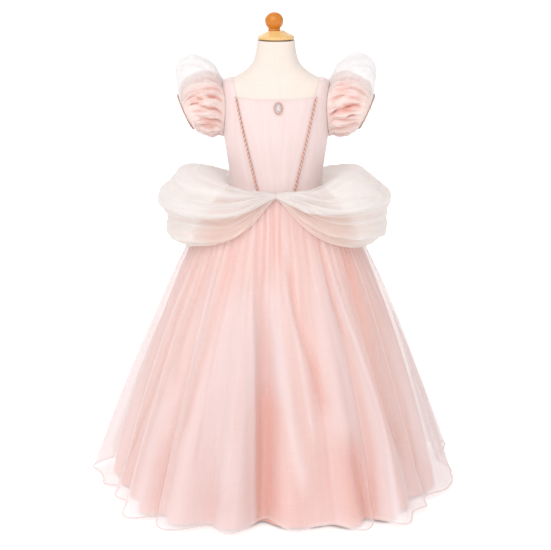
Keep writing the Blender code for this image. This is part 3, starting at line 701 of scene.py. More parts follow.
def innerEdge(z):
    if z <= bodice["neckline"]:
        return azimuthAtX(seamX(z), z) + bodice["seamAngle"]
    rise = (z - bodice["neckline"]) / (shoulderIn - bodice["neckline"])
    return azimuthAtX(mix(bodice["neckCornerX"], bodice["strapX"][0], rise), z)


def outerEdge(z):
    return 90 - bodice["seamAngle"] if z <= bodice["underarm"] else armholeAzimuth(z)


def buildBodice():
    # panels lie on the torso, each from the waist seam upward
    satin = finishes["paleSatin"]

    def frontPanel(u, v):
        z = mix(bodice["waist"], bodice["neckline"] - bodice["dip"] * math.sin(math.pi * u), v)
        reach = azimuthAtX(seamX(min(z, bodice["neckline"])), z) - bodice["seamAngle"]
        return onBody(mix(-reach, reach, u), z, edgeTurn((1 - v) * 0.2))

    front = makeCloth("bodice_centre_front", satin, ["bodice_front"],
                      (44, 56), (0.150, 0.207), frontPanel, wall=bodice["wall"])

    for name, side in sides:
        def sidePanel(u, v, side=side):
            share = bodice["shoulderShare"]
            if v <= share:
                innerZ, outerZ = frontInner(v / share), frontOuter(v / share)
                innerAzimuth = innerEdge(innerZ)
            else:
                over = (v - share) / (1 - share)
                innerZ, outerZ = strapInner(over), strapOuter(over)
                innerAzimuth = azimuthAtX(mix(bodice["strapX"][0], bodice["neckCornerX"], over), innerZ)
            azimuth = mix(innerAzimuth, outerEdge(outerZ), u)
            if v > share:
                azimuth = 180 - azimuth
            innerFrom, outerFrom = bodice["cutEdges"]
            inward = soft((v - innerFrom) / 0.05) * edgeTurn(u * 0.024)
            inward += 0.3 * soft((v - outerFrom) / 0.1) * edgeTurn((1 - u) * 0.03)
            return onBody(side * azimuth, mix(innerZ, outerZ, u), inward)

        def backPanel(u, v, side=side):
            z = mix(bodice["waist"], bodice["backNeckline"], v)
            azimuth = mix(180 - bodice["seamAngle"], 180 - outerEdge(z), u)
            return onBody(side * azimuth, z, edgeTurn((1 - v) * 0.2))

        piece = makeCloth("bodice_side_front_" + name, satin, ["bodice_side_" + name],
                          (22, 80), (0.105, 0.31), sidePanel, wall=bodice["wall"])
        piece = makeCloth("bodice_half_back_" + name, satin, ["bodice_back_" + name],
                          (34, 48), (0.160, 0.195), backPanel, wall=bodice["wall"])

    def placket(u, v):
        z = mix(bodice["waist"], bodice["backNeckline"], v)
        reach = azimuthAtX(bodice["placketHalf"], z)
        return onBody(180 + mix(-reach, reach, u), z, bodice["placketLift"])

    piece = makeCloth("back_placket", satin, ["bodice_placket"],
                      (10, 60), (0.025, 0.195), placket, wall=0.001)


# Twisted cord on the princess seams

seamCord = {"plyRadius": 0.00135, "offset": 0.00115, "pitch": 0.0094, "lift": 0.0043, "steps": 320,
            "slant": 1.03, "endGap": 0.0005}    # the seam's length against its height


def buildCords():
    for name, side in sides:
        length = bodice["neckline"] - bodice["waist"]
        turns = length * seamCord["slant"] / seamCord["pitch"]

        def axisAt(v, side=side):
            z = mix(bodice["waist"] + seamCord["endGap"], bodice["neckline"] - seamCord["endGap"], v)
            azimuth = side * azimuthAtX(seamX(z), z)
            normal = bodyNormal(azimuth, z)
            across = normal.cross(Vector((0, 0, 1))).normalized()
            return bodyPoint(azimuth, z) + normal * (bodice["ease"] + seamCord["lift"]), normal, across

        for ply in (0, 1):
            def plyAt(v, ply=ply):
                centre, normal, across = axisAt(v)
                swing = math.tau * turns * v * side + math.pi * ply
                offset = (normal * math.cos(swing) + across * math.sin(swing)) * seamCord["offset"]
                return centre + offset, normal, across
            yarn = finishes["bronzeCord" if ply else "roseGoldCord"]
            sweepTube("seam_cord_%s_%d" % (name, ply + 1), yarn,
                      ["cord_trim_" + name] if ply == 0 else [], (8, seamCord["steps"]), plyAt,
                      seamCord["plyRadius"])


# Brooch at the neckline

brooch = {"x": 0.005, "z": 0.856, "half": (0.0100, 0.0140), "seat": 0.0019, "beads": 26,
          "beadRadius": 0.00115, "gemHalf": (0.0068, 0.0103), "gemSides": 18}


def buildBrooch():
    azimuth = azimuthAtX(brooch["x"], brooch["z"])
    normal = bodyNormal(azimuth, brooch["z"])
    seat = bodyPoint(azimuth, brooch["z"]) + normal * (bodice["ease"] + brooch["seat"])
    facing = Matrix.Translation(seat) @ normal.to_track_quat("Z", "Y").to_matrix().to_4x4()
    halfX, halfY = brooch["half"]

    plate = ((0.0, 0.0012), (0.60, 0.0012), (0.64, 0.0026), (0.70, 0.0034), (0.76, 0.0030),
             (0.80, 0.0018), (0.97, 0.0014), (1.0, 0.0009), (0.99, 0.0), (0.0, 0.0))
    bm = turnedMesh(plate, 64)
    bmesh.ops.scale(bm, vec=(halfX, halfY, 1.0), verts=bm.verts)
    for n in range(brooch["beads"]):
        turn = math.tau * n / brooch["beads"]
        spot = Vector((halfX * 0.885 * math.cos(turn), halfY * 0.915 * math.sin(turn), 0.0022))
        bmesh.ops.create_icosphere(bm, subdivisions=2, radius=brooch["beadRadius"],
                                   matrix=Matrix.Translation(spot))
    bmesh.ops.transform(bm, matrix=facing, verts=bm.verts)
    finishPiece(bm, "brooch_setting", finishes["roseGoldMetal"],
                ["brooch_bezel"], sharp=50)

    cut = ((0.0, 0.0058), (0.46, 0.0058), (0.80, 0.0044), (1.0, 0.0028), (0.86, 0.0016), (0.0, 0.0013))
    bm = turnedMesh(cut, brooch["gemSides"])
    bmesh.ops.scale(bm, vec=(brooch["gemHalf"][0], brooch["gemHalf"][1], 1.0), verts=bm.verts)
    bmesh.ops.transform(bm, matrix=facing, verts=bm.verts)
    finishPiece(bm, "brooch_stone", finishes["clearCrystal"], ["brooch_gem"], smooth=False)


# Skirts

skirt = {
    "rows": (  # z, radius of the organza, radius of the satin, depth against width, squareness
        (0.010, 0.4080, 0.3640, 1.000, 2.0), (0.075, 0.3840, 0.3480, 0.995, 2.0),
        (0.171, 0.3520, 0.3230, 0.985, 2.0), (0.270, 0.3170, 0.2930, 0.975, 2.0),
        (0.366, 0.2800, 0.2610, 0.965, 2.0), (0.450, 0.2430, 0.2290, 0.950, 2.0),
        (0.535, 0.2010, 0.1920, 0.930, 2.05), (0.590, 0.1720, 0.1650, 0.900, 2.1),
        (0.630, 0.1440, 0.1380, 0.870, 2.25), (0.660, 0.1160, 0.1120, 0.845, 2.5),
        (0.6735, 0.1048, 0.1028, 0.840, 2.6)),
    "folds": (  # azimuth, reach at the hem, half width in degrees, height where it starts
        (-4, -0.062, 6.0, 0.64), (-13, 0.034, 5.5, 0.60), (-21, -0.016, 3.5, 0.58),
        (-31, 0.058, 6.0, 0.56), (-38, -0.016, 3.0, 0.50), (-45, 0.046, 6.0, 0.50),
        (-56, -0.010, 4.0, 0.56), (-68, -0.026, 5.0, 0.45), (-80, -0.012, 4.0, 0.54),
        (-91, 0.016, 5.0, 0.40), (-103, -0.026, 5.5, 0.56), (-117, 0.030, 6.0, 0.50),
        (-130, -0.022, 5.0, 0.55), (-143, 0.032, 6.0, 0.52), (-157, -0.030, 6.0, 0.58),
        (-171, 0.024, 6.0, 0.50), (12, -0.008, 5.0, 0.62), (19, -0.020, 3.0, 0.60),
        (25, 0.040, 5.0, 0.56), (32, -0.026, 2.8, 0.58), (38, 0.048, 6.0, 0.52),
        (49, 0.014, 4.0, 0.48), (59, -0.022, 5.0, 0.55), (76, 0.006, 4.0, 0.45),
        (84, -0.010, 4.0, 0.50), (99, -0.028, 6.0, 0.55), (113, 0.032, 6.0, 0.50),
        (127, -0.024, 5.0, 0.57), (140, 0.026, 5.5, 0.50), (154, -0.032, 6.0, 0.55),
        (168, 0.026, 6.0, 0.52), (-179, -0.036, 6.0, 0.60)),
    "hem": 0.014,
    "satinHem": 0.006,
    "satinSpread": 0.014,    # how much nearer the organza the satin hangs at front and back
    "satinRumple": 0.0016,
    "layerGap": 0.0030,      # the least between the satin's inner face and the organza
    "waistGap": 0.0015,      # the same at the waist seam
    "top": 0.6731,
    "satinShare": 0.72,
    "waveOut": 0.0045,
    "waveUp": 0.004,
    "waveHeight": 0.10,
    "gathers": 0.0011,       # height of the fine gathers under the waist seam
    "hemRoll": 0.0014,       # radius of the organza's rolled hem
    "seamTuck": 0.0022,      # how far the seam allowance is drawn in under the bodice
    "tuckFrom": 0.6665,
    "tuckHeight": 0.006,
    "creaseTop": 0.66,
    "organzaEase": 0.0006,
    "streakShare": 0.6,
    "streaks": (  # half width, lift, change of veil (painted shade in the valleys and painted light on the ridges), then height and azimuth along the crease
        (0.011, -0.011, -0.30, ((0.254, 18.7), (0.33, 16.4), (0.385, 13.2), (0.462, 9.4), (0.539, 7.5))),
        (0.007, -0.011, -0.28, ((0.014, 31.5), (0.205, 34.0), (0.36, 34.1), (0.478, 30.6), (0.594, 31.8))),
        (0.011, 0.006, 0.16, ((0.09, 30.0), (0.247, 30.0), (0.403, 27.6), (0.556, 26.4))),
        (0.017, -0.013, -0.34, ((0.154, 44.4), (0.235, 43.0), (0.43, 47.3), (0.547, 51.5))),
        (0.015, 0.006, 0.14, ((0.083, 65.0), (0.211, 64.0), (0.376, 64.7))),
        (0.006, -0.007, -0.16, ((0.028, 54.5), (0.088, 59.6), (0.211, 60.8))),
        (0.007, -0.008, -0.22, ((0.112, -60.7), (0.316, -56.9), (0.536, -56.3))),
        (0.009, -0.009, -0.18, ((0.216, -30.6), (0.402, -29.8), (0.555, -31.1))),
        (0.013, 0.006, 0.30, ((0.108, 8.8), (0.183, 6.6), (0.484, -3.3))),
        (0.030, 0.005, 0.18, ((0.106, -16.8), (0.263, -21.1), (0.462, -20.1))),
        (0.008, -0.007, -0.16, ((0.288, -42.0), (0.409, -45.7), (0.532, -46.3))),
        (0.034, -0.002, -0.34, ((0.030, -0.5), (0.13, -2.6), (0.268, -2.3))),
        (0.026, -0.008, -0.50, ((0.030, 24.5), (0.105, 25.0), (0.180, 25.6))),
        (0.008, 0.003, 0.12, ((0.539, 8.7), (0.631, 4.4))),
        (0.007, -0.005, -0.16, ((0.540, 1.0), (0.640, -1.0))),
        (0.013, -0.006, -0.16, ((0.030, -39.0), (0.166, -40.2))),
        (0.009, -0.007, -0.15, ((0.03, -78.0), (0.20, -76.0), (0.38, -74.0))),
        (0.010, -0.008, -0.16, ((0.06, 86.0), (0.26, 84.0), (0.47, 81.0))),
        (0.012, 0.005, 0.12, ((0.08, 98.0), (0.30, 97.0), (0.44, 99.0))),
        (0.008, -0.009, -0.18, ((0.02, 110.0), (0.22, 108.0), (0.40, 112.0), (0.56, 110.0))),
        (0.014, -0.008, -0.20, ((0.10, 128.0), (0.30, 124.0), (0.50, 127.0))),
        (0.010, 0.006, 0.14, ((0.05, 139.0), (0.30, 136.0), (0.52, 138.0))),
        (0.007, -0.009, -0.18, ((0.02, 150.0), (0.25, 152.0), (0.45, 148.0), (0.60, 150.0))),
        (0.018, -0.008, -0.24, ((0.12, 166.0), (0.35, 163.0), (0.50, 165.0))),
        (0.012, 0.006, 0.15, ((0.06, 176.0), (0.25, 178.0), (0.50, 175.0))),
        (0.008, -0.010, -0.20, ((0.02, -172.0), (0.20, -170.0), (0.42, -174.0), (0.61, -172.0))),
        (0.020, -0.007, -0.22, ((0.05, -160.0), (0.18, -158.0))),
        (0.010, -0.008, -0.16, ((0.20, -150.0), (0.38, -152.0), (0.55, -149.0))),
        (0.012, 0.005, 0.14, ((0.06, -140.0), (0.24, -142.0), (0.48, -139.0))),
        (0.007, -0.009, -0.18, ((0.02, -128.0), (0.26, -131.0), (0.50, -127.0))),
        (0.012, -0.007, -0.18, ((0.08, -112.0), (0.30, -109.0), (0.46, -112.0))),
        (0.009, 0.005, 0.12, ((0.04, -99.0), (0.22, -98.0), (0.40, -101.0))),
        (0.004, 0.004, 0.20, ((0.05, -66.0), (0.25, -62.5), (0.50, -60.0))),
        (0.004, 0.004, 0.18, ((0.10, -50.5), (0.30, -51.5), (0.56, -52.5))),
        (0.004, 0.003, 0.16, ((0.04, -34.5), (0.22, -35.5), (0.48, -38.0))),
        (0.004, -0.003, -0.18, ((0.16, -26.0), (0.36, -26.5), (0.58, -27.0))),
        (0.005, 0.004, 0.22, ((0.20, 13.5), (0.36, 10.5), (0.52, 4.5))),
        (0.004, 0.004, 0.22, ((0.02, 35.5), (0.24, 37.8), (0.44, 35.5), (0.60, 33.0))),
        (0.004, 0.003, 0.18, ((0.10, 53.0), (0.30, 54.5), (0.54, 57.5))),
        (0.004, 0.003, 0.16, ((0.06, 72.0), (0.28, 72.5), (0.46, 74.0)))),
    "pleats": (  # depth, width of the step, length of its tail, then height and azimuth
        (0.006, 0.003, 0.040, ((0.02, -7.0), (0.05, -7.2), (0.333, -9.3), (0.559, -13.5), (0.641, -12.7))),
        (0.006, -0.003, 0.040, ((0.02, 160.0), (0.25, 158.0), (0.50, 156.0), (0.62, 158.0))),
        (0.005, 0.003, 0.040, ((0.02, -119.0), (0.30, -117.0), (0.55, -119.0)))),
}
streakLines = [(halfWidth, height, veil, rows[0][0], rows[-1][0], curveOf(rows, 1))
               for halfWidth, height, veil, rows in skirt["streaks"]]
pleatLines = [(depth, step, tail, rows[0][0], rows[-1][0], curveOf(rows, 1))
              for depth, step, tail, rows in skirt["pleats"]]
organzaRadius = curveOf(skirt["rows"], 1)
satinSkirtRadius = curveOf(skirt["rows"], 2)
skirtDepth = curveOf(skirt["rows"], 3)
skirtSquareness = curveOf(skirt["rows"], 4)


def roundNoise(azimuth, size, height):
    # noise that joins up all round
    turn = math.radians(azimuth)
    return noise.noise(Vector((math.cos(turn) * size, math.sin(turn) * size, height)))


@functools.lru_cache(maxsize=None)
def foldsNear(azimuth):
    near = []
    for centre, reach, width, top in skirt["folds"]:
        away = turnAway(azimuth, centre)
        if abs(away) < 3 * width:
            near.append((reach * bump(away, width), top))
    return tuple(near)


def foldReach(azimuth, z):
    return sum(reach * soft((top - z) / (top - skirt["hem"])) ** 0.85
               for reach, top in foldsNear(azimuth) if z < top)


@functools.lru_cache(maxsize=None)
def creasesAt(z):
    # the creases and pleats that run through one height, with their azimuths and their strengths there
    creases, pleats = [], []
    for halfWidth, height, veil, low, high, azimuthAt in streakLines:
        fade = soft((z - low + 0.05) / 0.07) * soft((high + 0.05 - z) / 0.10)
        if fade > 0:
            creases.append((azimuthAt(z), halfWidth, skirt["streakShare"] * height * fade, veil * fade))
    for depth, step, tail, low, high, azimuthAt in pleatLines:
        fade = soft((high + 0.03 - z) / 0.12) * (0.55 + 0.45 * soft((high - z) / 0.4))
        if fade > 0:
            pleats.append((azimuthAt(z), depth * fade, step, tail, fade))
    return creases, pleats


def creaseLift(azimuth, z, radius):
    # the listed creases: how far they move the cloth and how much they change its veil
    lift = veilChange = 0.0
    creases, pleats = creasesAt(round(z, 4))
    # the change of veil deepens the satin's colour and clears the organza in the valleys and does the
    # opposite on the ridges: painted shade and painted light
    for centre, halfWidth, height, veil in creases:
        away = math.radians(turnAway(azimuth, centre)) * radius
        if abs(away) < 3 * halfWidth:
            lift += height * bump(away, halfWidth)
            veilChange += veil * bump(away, halfWidth * 1.15)
    for centre, depth, step, tail, fade in pleats:
        away = math.radians(turnAway(azimuth, centre)) * radius * math.copysign(1, step)
        if -0.02 < away < tail + 0.02:
            inward = soft(away / abs(step)) * (1 - soft((away - abs(step)) / tail))
            lift += depth * (0.3 * bump(away + 0.004, 0.006) - inward)
            veilChange += fade * (0.18 * bump(away + 0.003, 0.005) - 0.26 * inward)
    return lift, veilChange


def hemWave(azimuth):
    turn = math.radians(azimuth)
    return 0.6 * math.sin(22 * turn + 0.7) + 0.4 * math.sin(13 * turn + 2.1)


overPhase, underPhase = 1.3, 4.2     # the two skirts' gathers are not in step


def gatherLift(azimuth, z, phase):
    # fine gathers that start at the waist seam and die out at uneven heights
    turn = math.radians(azimuth)
    reachDown = 0.50 + 0.09 * noise.noise(Vector((azimuth * 0.11 + phase, 3.1, 0)))
    strength = soft((z - reachDown + 0.12) / 0.12)
    wander = 1.4 * roundNoise(azimuth, 4, z * 5 + phase)
    wave = math.sin(64 * turn + phase + wander) + 0.5 * math.sin(103 * turn + 2 * wander)
    return skirt["gathers"] * strength * wave / 1.5


def gatherShade(azimuth, z):
    # how the overskirt's gathers show in its veil, strong in some places and faint in others; in the colour
    # of both skirts this is painted light on their ridges and painted shade in their hollows
    patch = roundNoise(azimuth, 5, z * 4)
    return gatherLift(azimuth, z, overPhase) / skirt["gathers"] * max(0.0, 0.5 + 1.6 * patch)


def skirtRing(azimuth, radius, z):
    turn = math.radians(azimuth)
    square = 2 / skirtSquareness(z)
    return Vector((radius * power(math.sin(turn), square),
                   -radius * skirtDepth(z) * power(math.cos(turn), square), z))


def organzaOut(azimuth, z):
    near = soft(1 - (z - skirt["hem"]) / skirt["waveHeight"])
    return organzaRadius(z) + foldReach(azimuth, z) + skirt["waveOut"] * near * hemWave(azimuth)


def belowWaist(z):
    # the creases begin under the waist
    return soft((skirt["creaseTop"] - z) / 0.10)


def tuckAt(z):
    return skirt["seamTuck"] * soft((z - skirt["tuckFrom"]) / skirt["tuckHeight"])


def overskirtRadius(azimuth, z, crease):
    radius = organzaOut(azimuth, z) + skirt["organzaEase"] + gatherLift(azimuth, z, overPhase)
    return radius + 0.8 * crease * belowWaist(z) - tuckAt(z)


def overskirtPlace(u, v):
    # azimuth and height, with the rows a little closer together at the hem
    return -180 + 360 * u, mix(skirt["hem"], skirt["top"], v ** 1.15)


def overskirtPoint(u, v):
    azimuth, z = overskirtPlace(u, v)
    wave = skirt["waveUp"] * hemWave(azimuth + 4)
    z += wave * soft(1 - (z - skirt["hem"]) / skirt["waveHeight"])
    crease = creaseLift(azimuth, z, organzaOut(azimuth, z))[0]
    return skirtRing(azimuth, overskirtRadius(azimuth, z, crease), z)


def overskirtVeilAndShade(u, v):
    # the organza is whiter where it stands in ridges or lies aslant, and clearer in its valleys, which is
    # partly denser cloth and partly painted light on the ridges and painted shade in the valleys, as its
    # colour follows too; it is also clearer high up under the puffs, a painted shadow
    azimuth, z = overskirtPlace(u, v)
    radius = organzaRadius(z)
    slope = (foldReach(azimuth + 0.5, z) - foldReach(azimuth - 0.5, z)) / (radius * math.radians(1))
    veil = 0.47 + 0.20 * min(1.0, abs(slope)) + 1.2 * foldReach(azimuth, z)
    veil += 1.1 * creaseLift(azimuth, z, radius)[1]
    veil += 0.10 * roundNoise(azimuth, 3, z * 3.5)
    veil += 0.06 * roundNoise(azimuth, 14, z * 2.0)
    veil += 0.4 * bump(v, 0.010) + 0.16 * gatherShade(azimuth, z) - 0.05 * soft((z - 0.46) / 0.10)
    return min(1.0, max(0.0, veil))


def underskirtPlace(u, v):
    return -180 + 360 * u, mix(skirt["satinHem"], skirt["top"], v)


def underskirtPoint(u, v):
    # the satin follows the organza's folds and creases, and stays inside it
    azimuth, z = underskirtPlace(u, v)
    radius = satinSkirtRadius(z) + skirt["satinShare"] * foldReach(round(azimuth + 1, 4), z)
    crease = creaseLift(azimuth, z, organzaOut(azimuth, z))[0]
    radius += gatherLift(azimuth, z, underPhase) + crease * belowWaist(z)
    radius -= tuckAt(z)
    radius += skirt["satinSpread"] * math.cos(math.radians(azimuth)) ** 2 * soft((0.16 - z) / 0.15)
    radius += skirt["satinRumple"] * roundNoise(azimuth, 9, z * 7)
    apart = mix(skirt["waistGap"], skirt["layerGap"], soft((0.655 - z) / 0.06))
    return skirtRing(azimuth, min(radius, overskirtRadius(azimuth, z, crease) - apart), z)


def underskirtShade(u, v):
    # painted shade: the satin is deeper in colour where its folds face one another, in the valleys of its
    # creases, behind the hollows of the overskirt's gathers and high up under the puffs, and lighter behind
    # the gathers' ridges; it is also deeper toward the hem
    azimuth, z = underskirtPlace(u, v)
    radius = satinSkirtRadius(z)
    tone = 0.09 - 0.8 * creaseLift(azimuth, z, radius)[1] - 1.5 * foldReach(azimuth, z)
    tone += 0.25 * roundNoise(azimuth, 3, z * 4 + 5)
    tone += 0.16 * soft((0.20 - z) / 0.15) + 0.10 * soft((z - 0.50) / 0.10)
    tone -= 0.26 * gatherShade(azimuth, z)
    return min(1.0, max(0.0, tone))


def buildSkirts():
    satin = makeCloth("underskirt", finishes["peachSatin"],
                      ["skirt_satin_front", "skirt_satin_back"], (480, 90), (2.4, 0.68),
                      underskirtPoint, closed=True, wall=0.0008, veil=underskirtShade)
    organza = makeCloth("overskirt", finishes["peachOrganza"],
                        ["skirt_organza_front", "skirt_organza_back"], (880, 110), (3.0, 0.74),
                        overskirtPoint, closed=True, veil=overskirtVeilAndShade)

    def rollAt(v):
        spot = overskirtPoint(v, 0.0)
        ahead = overskirtPoint((v + 0.001) % 1.0, 0.0) - spot
        outward = ahead.cross(Vector((0, 0, 1))).normalized()
        return spot, outward, Vector((0, 0, 1))

    roll = sweepTube("overskirt_hem_roll", finishes["rolledHem"], [],
                     (7, 880), rollAt, skirt["hemRoll"], closed=True)


# Side puffs at the waist

puff = {
    "rows": (  # azimuth from the front, top z, lowest z, farthest radius
        (0.1, 0.6740, 0.6620, 0.1200), (10, 0.6765, 0.6330, 0.1500), (20, 0.6810, 0.6040, 0.1800),
        (33, 0.6890, 0.5770, 0.2080), (50, 0.7020, 0.5600, 0.2340), (70, 0.7115, 0.5515, 0.2500),
        (90, 0.7145, 0.5490, 0.2550), (110, 0.7115, 0.5505, 0.2530), (130, 0.7020, 0.5580, 0.2390),
        (147, 0.6890, 0.5730, 0.2150), (160, 0.6810, 0.5980, 0.1850), (170, 0.6765, 0.6290, 0.1530),
        (179.9, 0.6740, 0.6620, 0.1200)),
    "folds": 4,
    "foldHeight": 0.0055,
    "swell": 0.006,
    "start": 125,
    "end": -112,
    "centre": 0.42,
    "crowding": 0.06,
    "seamRise": 0.0010,
    "tailLift": 0.0048,      # how far the lower edge stands off the overskirt
    "endLift": 0.0032,       # how much more at the two gathered ends
    "seamLift": 0.0032,
    "shelf": {-1: 0.48, 1: 0.36},    # how far from the front the roll's lower edge reaches
    "shelfDepth": 0.010,
    "rollSwell": 0.004,
    "shelfBack": 0.66,       # where the roll's lower edge shows again toward the back
    "endShare": 0.30,        # share of the length over which the puff swells from its end
    "seamShare": 0.14,       # share of the way round that the cloth takes to leave the waist seam
    "grid": (150, 130),
}
puffTop, puffLow, puffFar = (curveOf(puff["rows"], column) for column in (1, 2, 3))


def shelfPlace(u, side):
    # where round the puff the gathered roll ends and the flatter cloth under it begins
    return 0.60 - 0.10 * soft(u / 0.25) + 0.03 * math.sin(9 * u + side)


def puffCrinkle(u, v, side):
    # folds that run out of the two gathered ends and soften toward the hip
    size = soft(min(u, 1 - u) / puff["endShare"])
    ends = 1 - 0.66 * soft(min(u, 1 - u) / 0.5)
    wander = 1.5 * noise.noise(Vector((u * 5.0, v * 2.2, 4.0 * side)))
    lift = 0.0034 * (1 - 2 * abs(math.sin(math.pi * 8 * v + 1.9 * wander + side)))
    lift += 0.0022 * (1 - 2 * abs(math.sin(math.pi * 15 * v + 2.6 * wander + 3 * u)))
    lift += 0.0060 * noise.noise(Vector((u * 6.0 + 9, v * 9.0, 2.0 * side)))
    rumple = noise.noise(Vector((u * 15.0 + 4, v * 15.0 + 2 * wander, 5.0 * side)))
    lift += 0.0044 * (0.25 - abs(rumple)) * soft(u / 0.15) * soft((1 - u) / 0.15)
    lift *= 1.35
    return lift * ends * math.sqrt(size) * math.sin(math.pi * min(1.0, v * 1.02)) ** 0.6


def puffPoint(side):
    def point(u, v):
        spread = u - puff["crowding"] * math.sin(math.tau * u)
        azimuth = mix(0.02, 179.98, spread)
        topZ, lowZ = puffTop(azimuth), puffLow(azimuth)
        midZ, halfHeight = (topZ + lowZ) / 2, (topZ - lowZ) / 2
        endTurn = math.radians(puff["end"])
        endZ = midZ + halfHeight * math.sin(endTurn)
        size = soft(min(u, 1 - u) / puff["endShare"])
        endRadius = organzaOut(side * azimuth, endZ) + puff["tailLift"]
        endRadius += puff["endLift"] * (1 - size)
        farRadius = max(puffFar(azimuth), endRadius + 0.008)
        seamZ = bodice["waist"] + puff["seamRise"]
        seamRadius = organzaOut(side * azimuth, bodice["waist"]) + puff["seamLift"]
        turn = math.radians(mix(puff["start"], puff["end"], v))
        highCentre = mix(seamRadius, farRadius, puff["centre"])
        lowCentre = (endRadius - farRadius * math.cos(endTurn)) / (1 - math.cos(endTurn))
        centreRadius = mix(highCentre, lowCentre, soft((math.pi / 2 - turn) / math.pi))
        crease = math.sin(math.tau * puff["folds"] * v + 2.4 * math.sin(math.pi * u) + side * 0.6)
        lift = puff["foldHeight"] * size * crease * math.sin(math.pi * v)
        lift += puff["swell"] * size * math.sin(5.5 * math.pi * u + 1.2 * side) * math.sin(math.pi * v)
        lift += puffCrinkle(u, v, side)
        fromEdge = v - shelfPlace(u, side)
        shown = 1 - soft((u - puff["shelf"][side]) / 0.10)
        shown = max(shown, soft((u - puff["shelfBack"]) / 0.10)) * soft(min(u, 1 - u) / 0.10)
        lift -= puff["shelfDepth"] * shown * soft(fromEdge / 0.035) * (1 - soft(fromEdge / 0.36))
        lift += puff["rollSwell"] * shown * bump(fromEdge + 0.05, 0.05)
        radius = centreRadius + (farRadius - centreRadius) * math.cos(turn) + lift * math.cos(turn)
        z = midZ + (halfHeight + lift) * math.sin(turn)
        seamPlace = onBody(side * azimuth, seamZ, bodice["wall"] + 0.0007)
        return seamPlace.lerp(skirtRing(side * azimuth, radius, z), soft(v / puff["seamShare"]))
    return point


def buildPuffs():
    for name, side in sides:
        def veil(u, v, side=side):
            # dense on the gathered roll; under it clear near the middle and denser toward the hip; whiter on
            # the crinkles' ridges and clearer in their hollows, which is painted light and painted shade
            onRoll = 1 - soft((v - shelfPlace(u, side)) / 0.06)
            front = 1 - soft((u - puff["shelf"][side]) / 0.15)
            back = soft((u - puff["shelfBack"]) / 0.15)
            roll = onRoll * max(front, back)
            cover = 0.74 * roll + 0.42 * (1 - max(front, back)) + 0.12
            cover += 0.48 * (1 - onRoll) * soft((min(u, 1 - u) - 0.24) / 0.12)
            cover += 0.35 * (1 - soft(min(u, 1 - u) / 0.12)) + 0.4 * (bump(v, 0.03) + bump(1 - v, 0.02))
            return min(1.0, max(0.0, cover + 60 * puffCrinkle(u, v, side)))

        piece = makeCloth("hip_puff_" + name, finishes["ivoryOrganza"],
                          ["waist_puff_" + name], puff["grid"], (0.72, 0.40), puffPoint(side), veil=veil)


# Sleeves

sleeve = {
    "satin": (  # place along the sleeve, top x, top z, bottom x, bottom z, half depth
        (0.00, 0.1230, 0.9050, 0.1190, 0.7880, 0.0440), (0.20, 0.1300, 0.9220, 0.1270, 0.7890, 0.0530),
        (0.42, 0.1510, 0.9290, 0.1430, 0.7860, 0.0620), (0.66, 0.1780, 0.9240, 0.1590, 0.7900, 0.0600),
        (0.86, 0.2030, 0.9050, 0.1730, 0.7990, 0.0500), (1.00, 0.2140, 0.8760, 0.1810, 0.8050, 0.0400)),
    "sheer": (
        (0.00, 0.1235, 0.9120, 0.1190, 0.7850, 0.0470), (0.18, 0.1320, 0.9400, 0.1270, 0.7845, 0.0600),
        (0.36, 0.1530, 0.9560, 0.1420, 0.7810, 0.0690), (0.55, 0.1790, 0.9640, 0.1580, 0.7845, 0.0710),
        (0.74, 0.2070, 0.9580, 0.1695, 0.7895, 0.0660), (0.89, 0.2215, 0.9270, 0.1760, 0.7950, 0.0550),
        (1.00, 0.2152, 0.8782, 0.1812, 0.8036, 0.0416)),
    "inset": {"satin": -0.0012, "sheer": -0.0028},
    # u at the front is 0, at the top 0.25, at the back 0.5 and underneath 0.75
    "creases": (  # u, drift of u along the sleeve, start, end, depth, half width
        (0.055, 0.020, -0.05, 0.55, 0.0085, 0.013),
        (0.020, 0.045, 0.45, 1.10, 0.0070, 0.014),
        (-0.030, 0.060, -0.05, 0.95, 0.0095, 0.015),
        (-0.085, 0.050, -0.05, 0.80, 0.0095, 0.014),
        (-0.140, 0.020, 0.20, 1.10, 0.0060, 0.013),
        (-0.190, 0.030, -0.05, 0.70, 0.0060, 0.014),
        (0.110, -0.020, 0.10, 1.10, 0.0060, 0.015),
        (0.160, 0.010, -0.05, 0.85, 0.0060, 0.016),
        (0.215, 0.015, 0.15, 1.10, 0.0055, 0.016),
        (0.275, -0.020, -0.05, 0.90, 0.0060, 0.016),
        (0.335, 0.020, 0.10, 1.10, 0.0060, 0.016),
        (0.395, -0.010, -0.05, 0.75, 0.0070, 0.015),
        (0.450, 0.030, 0.20, 1.10, 0.0075, 0.014),
        (0.510, -0.030, -0.05, 0.90, 0.0080, 0.014),
        (0.570, 0.025, 0.10, 1.10, 0.0070, 0.015),
        (0.635, -0.015, -0.05, 0.80, 0.0065, 0.015),
        (0.695, 0.020, 0.15, 1.10, 0.0060, 0.015),
        (0.755, -0.010, -0.05, 0.95, 0.0055, 0.015)),
    "seamShare": 0.18,
    "ahead": 0.0048,
}
sleeveCurves = {cloth: [curveOf(sleeve[cloth], column) for column in range(1, 6)]
                for cloth in ("satin", "sheer")}


def sleeveRing(cloth, v):
    topX, topZ, bottomX, bottomZ, depth = (curve(v) for curve in sleeveCurves[cloth])
    top, bottom = Vector((topX, 0, topZ)), Vector((bottomX, 0, bottomZ))
    return (top + bottom) / 2, (top - bottom) / 2, depth


def armholeRing(turn, inset):
    middle, halfHeight, depth = bodice["armhole"]
    z = middle + (halfHeight - inset) * math.sin(turn)
    y = -(depth - inset) * math.cos(turn)
    x = bodyPoint(azimuthAtY(abs(y), z), z).x
    return Vector((x + sleeve["ahead"], y, z))


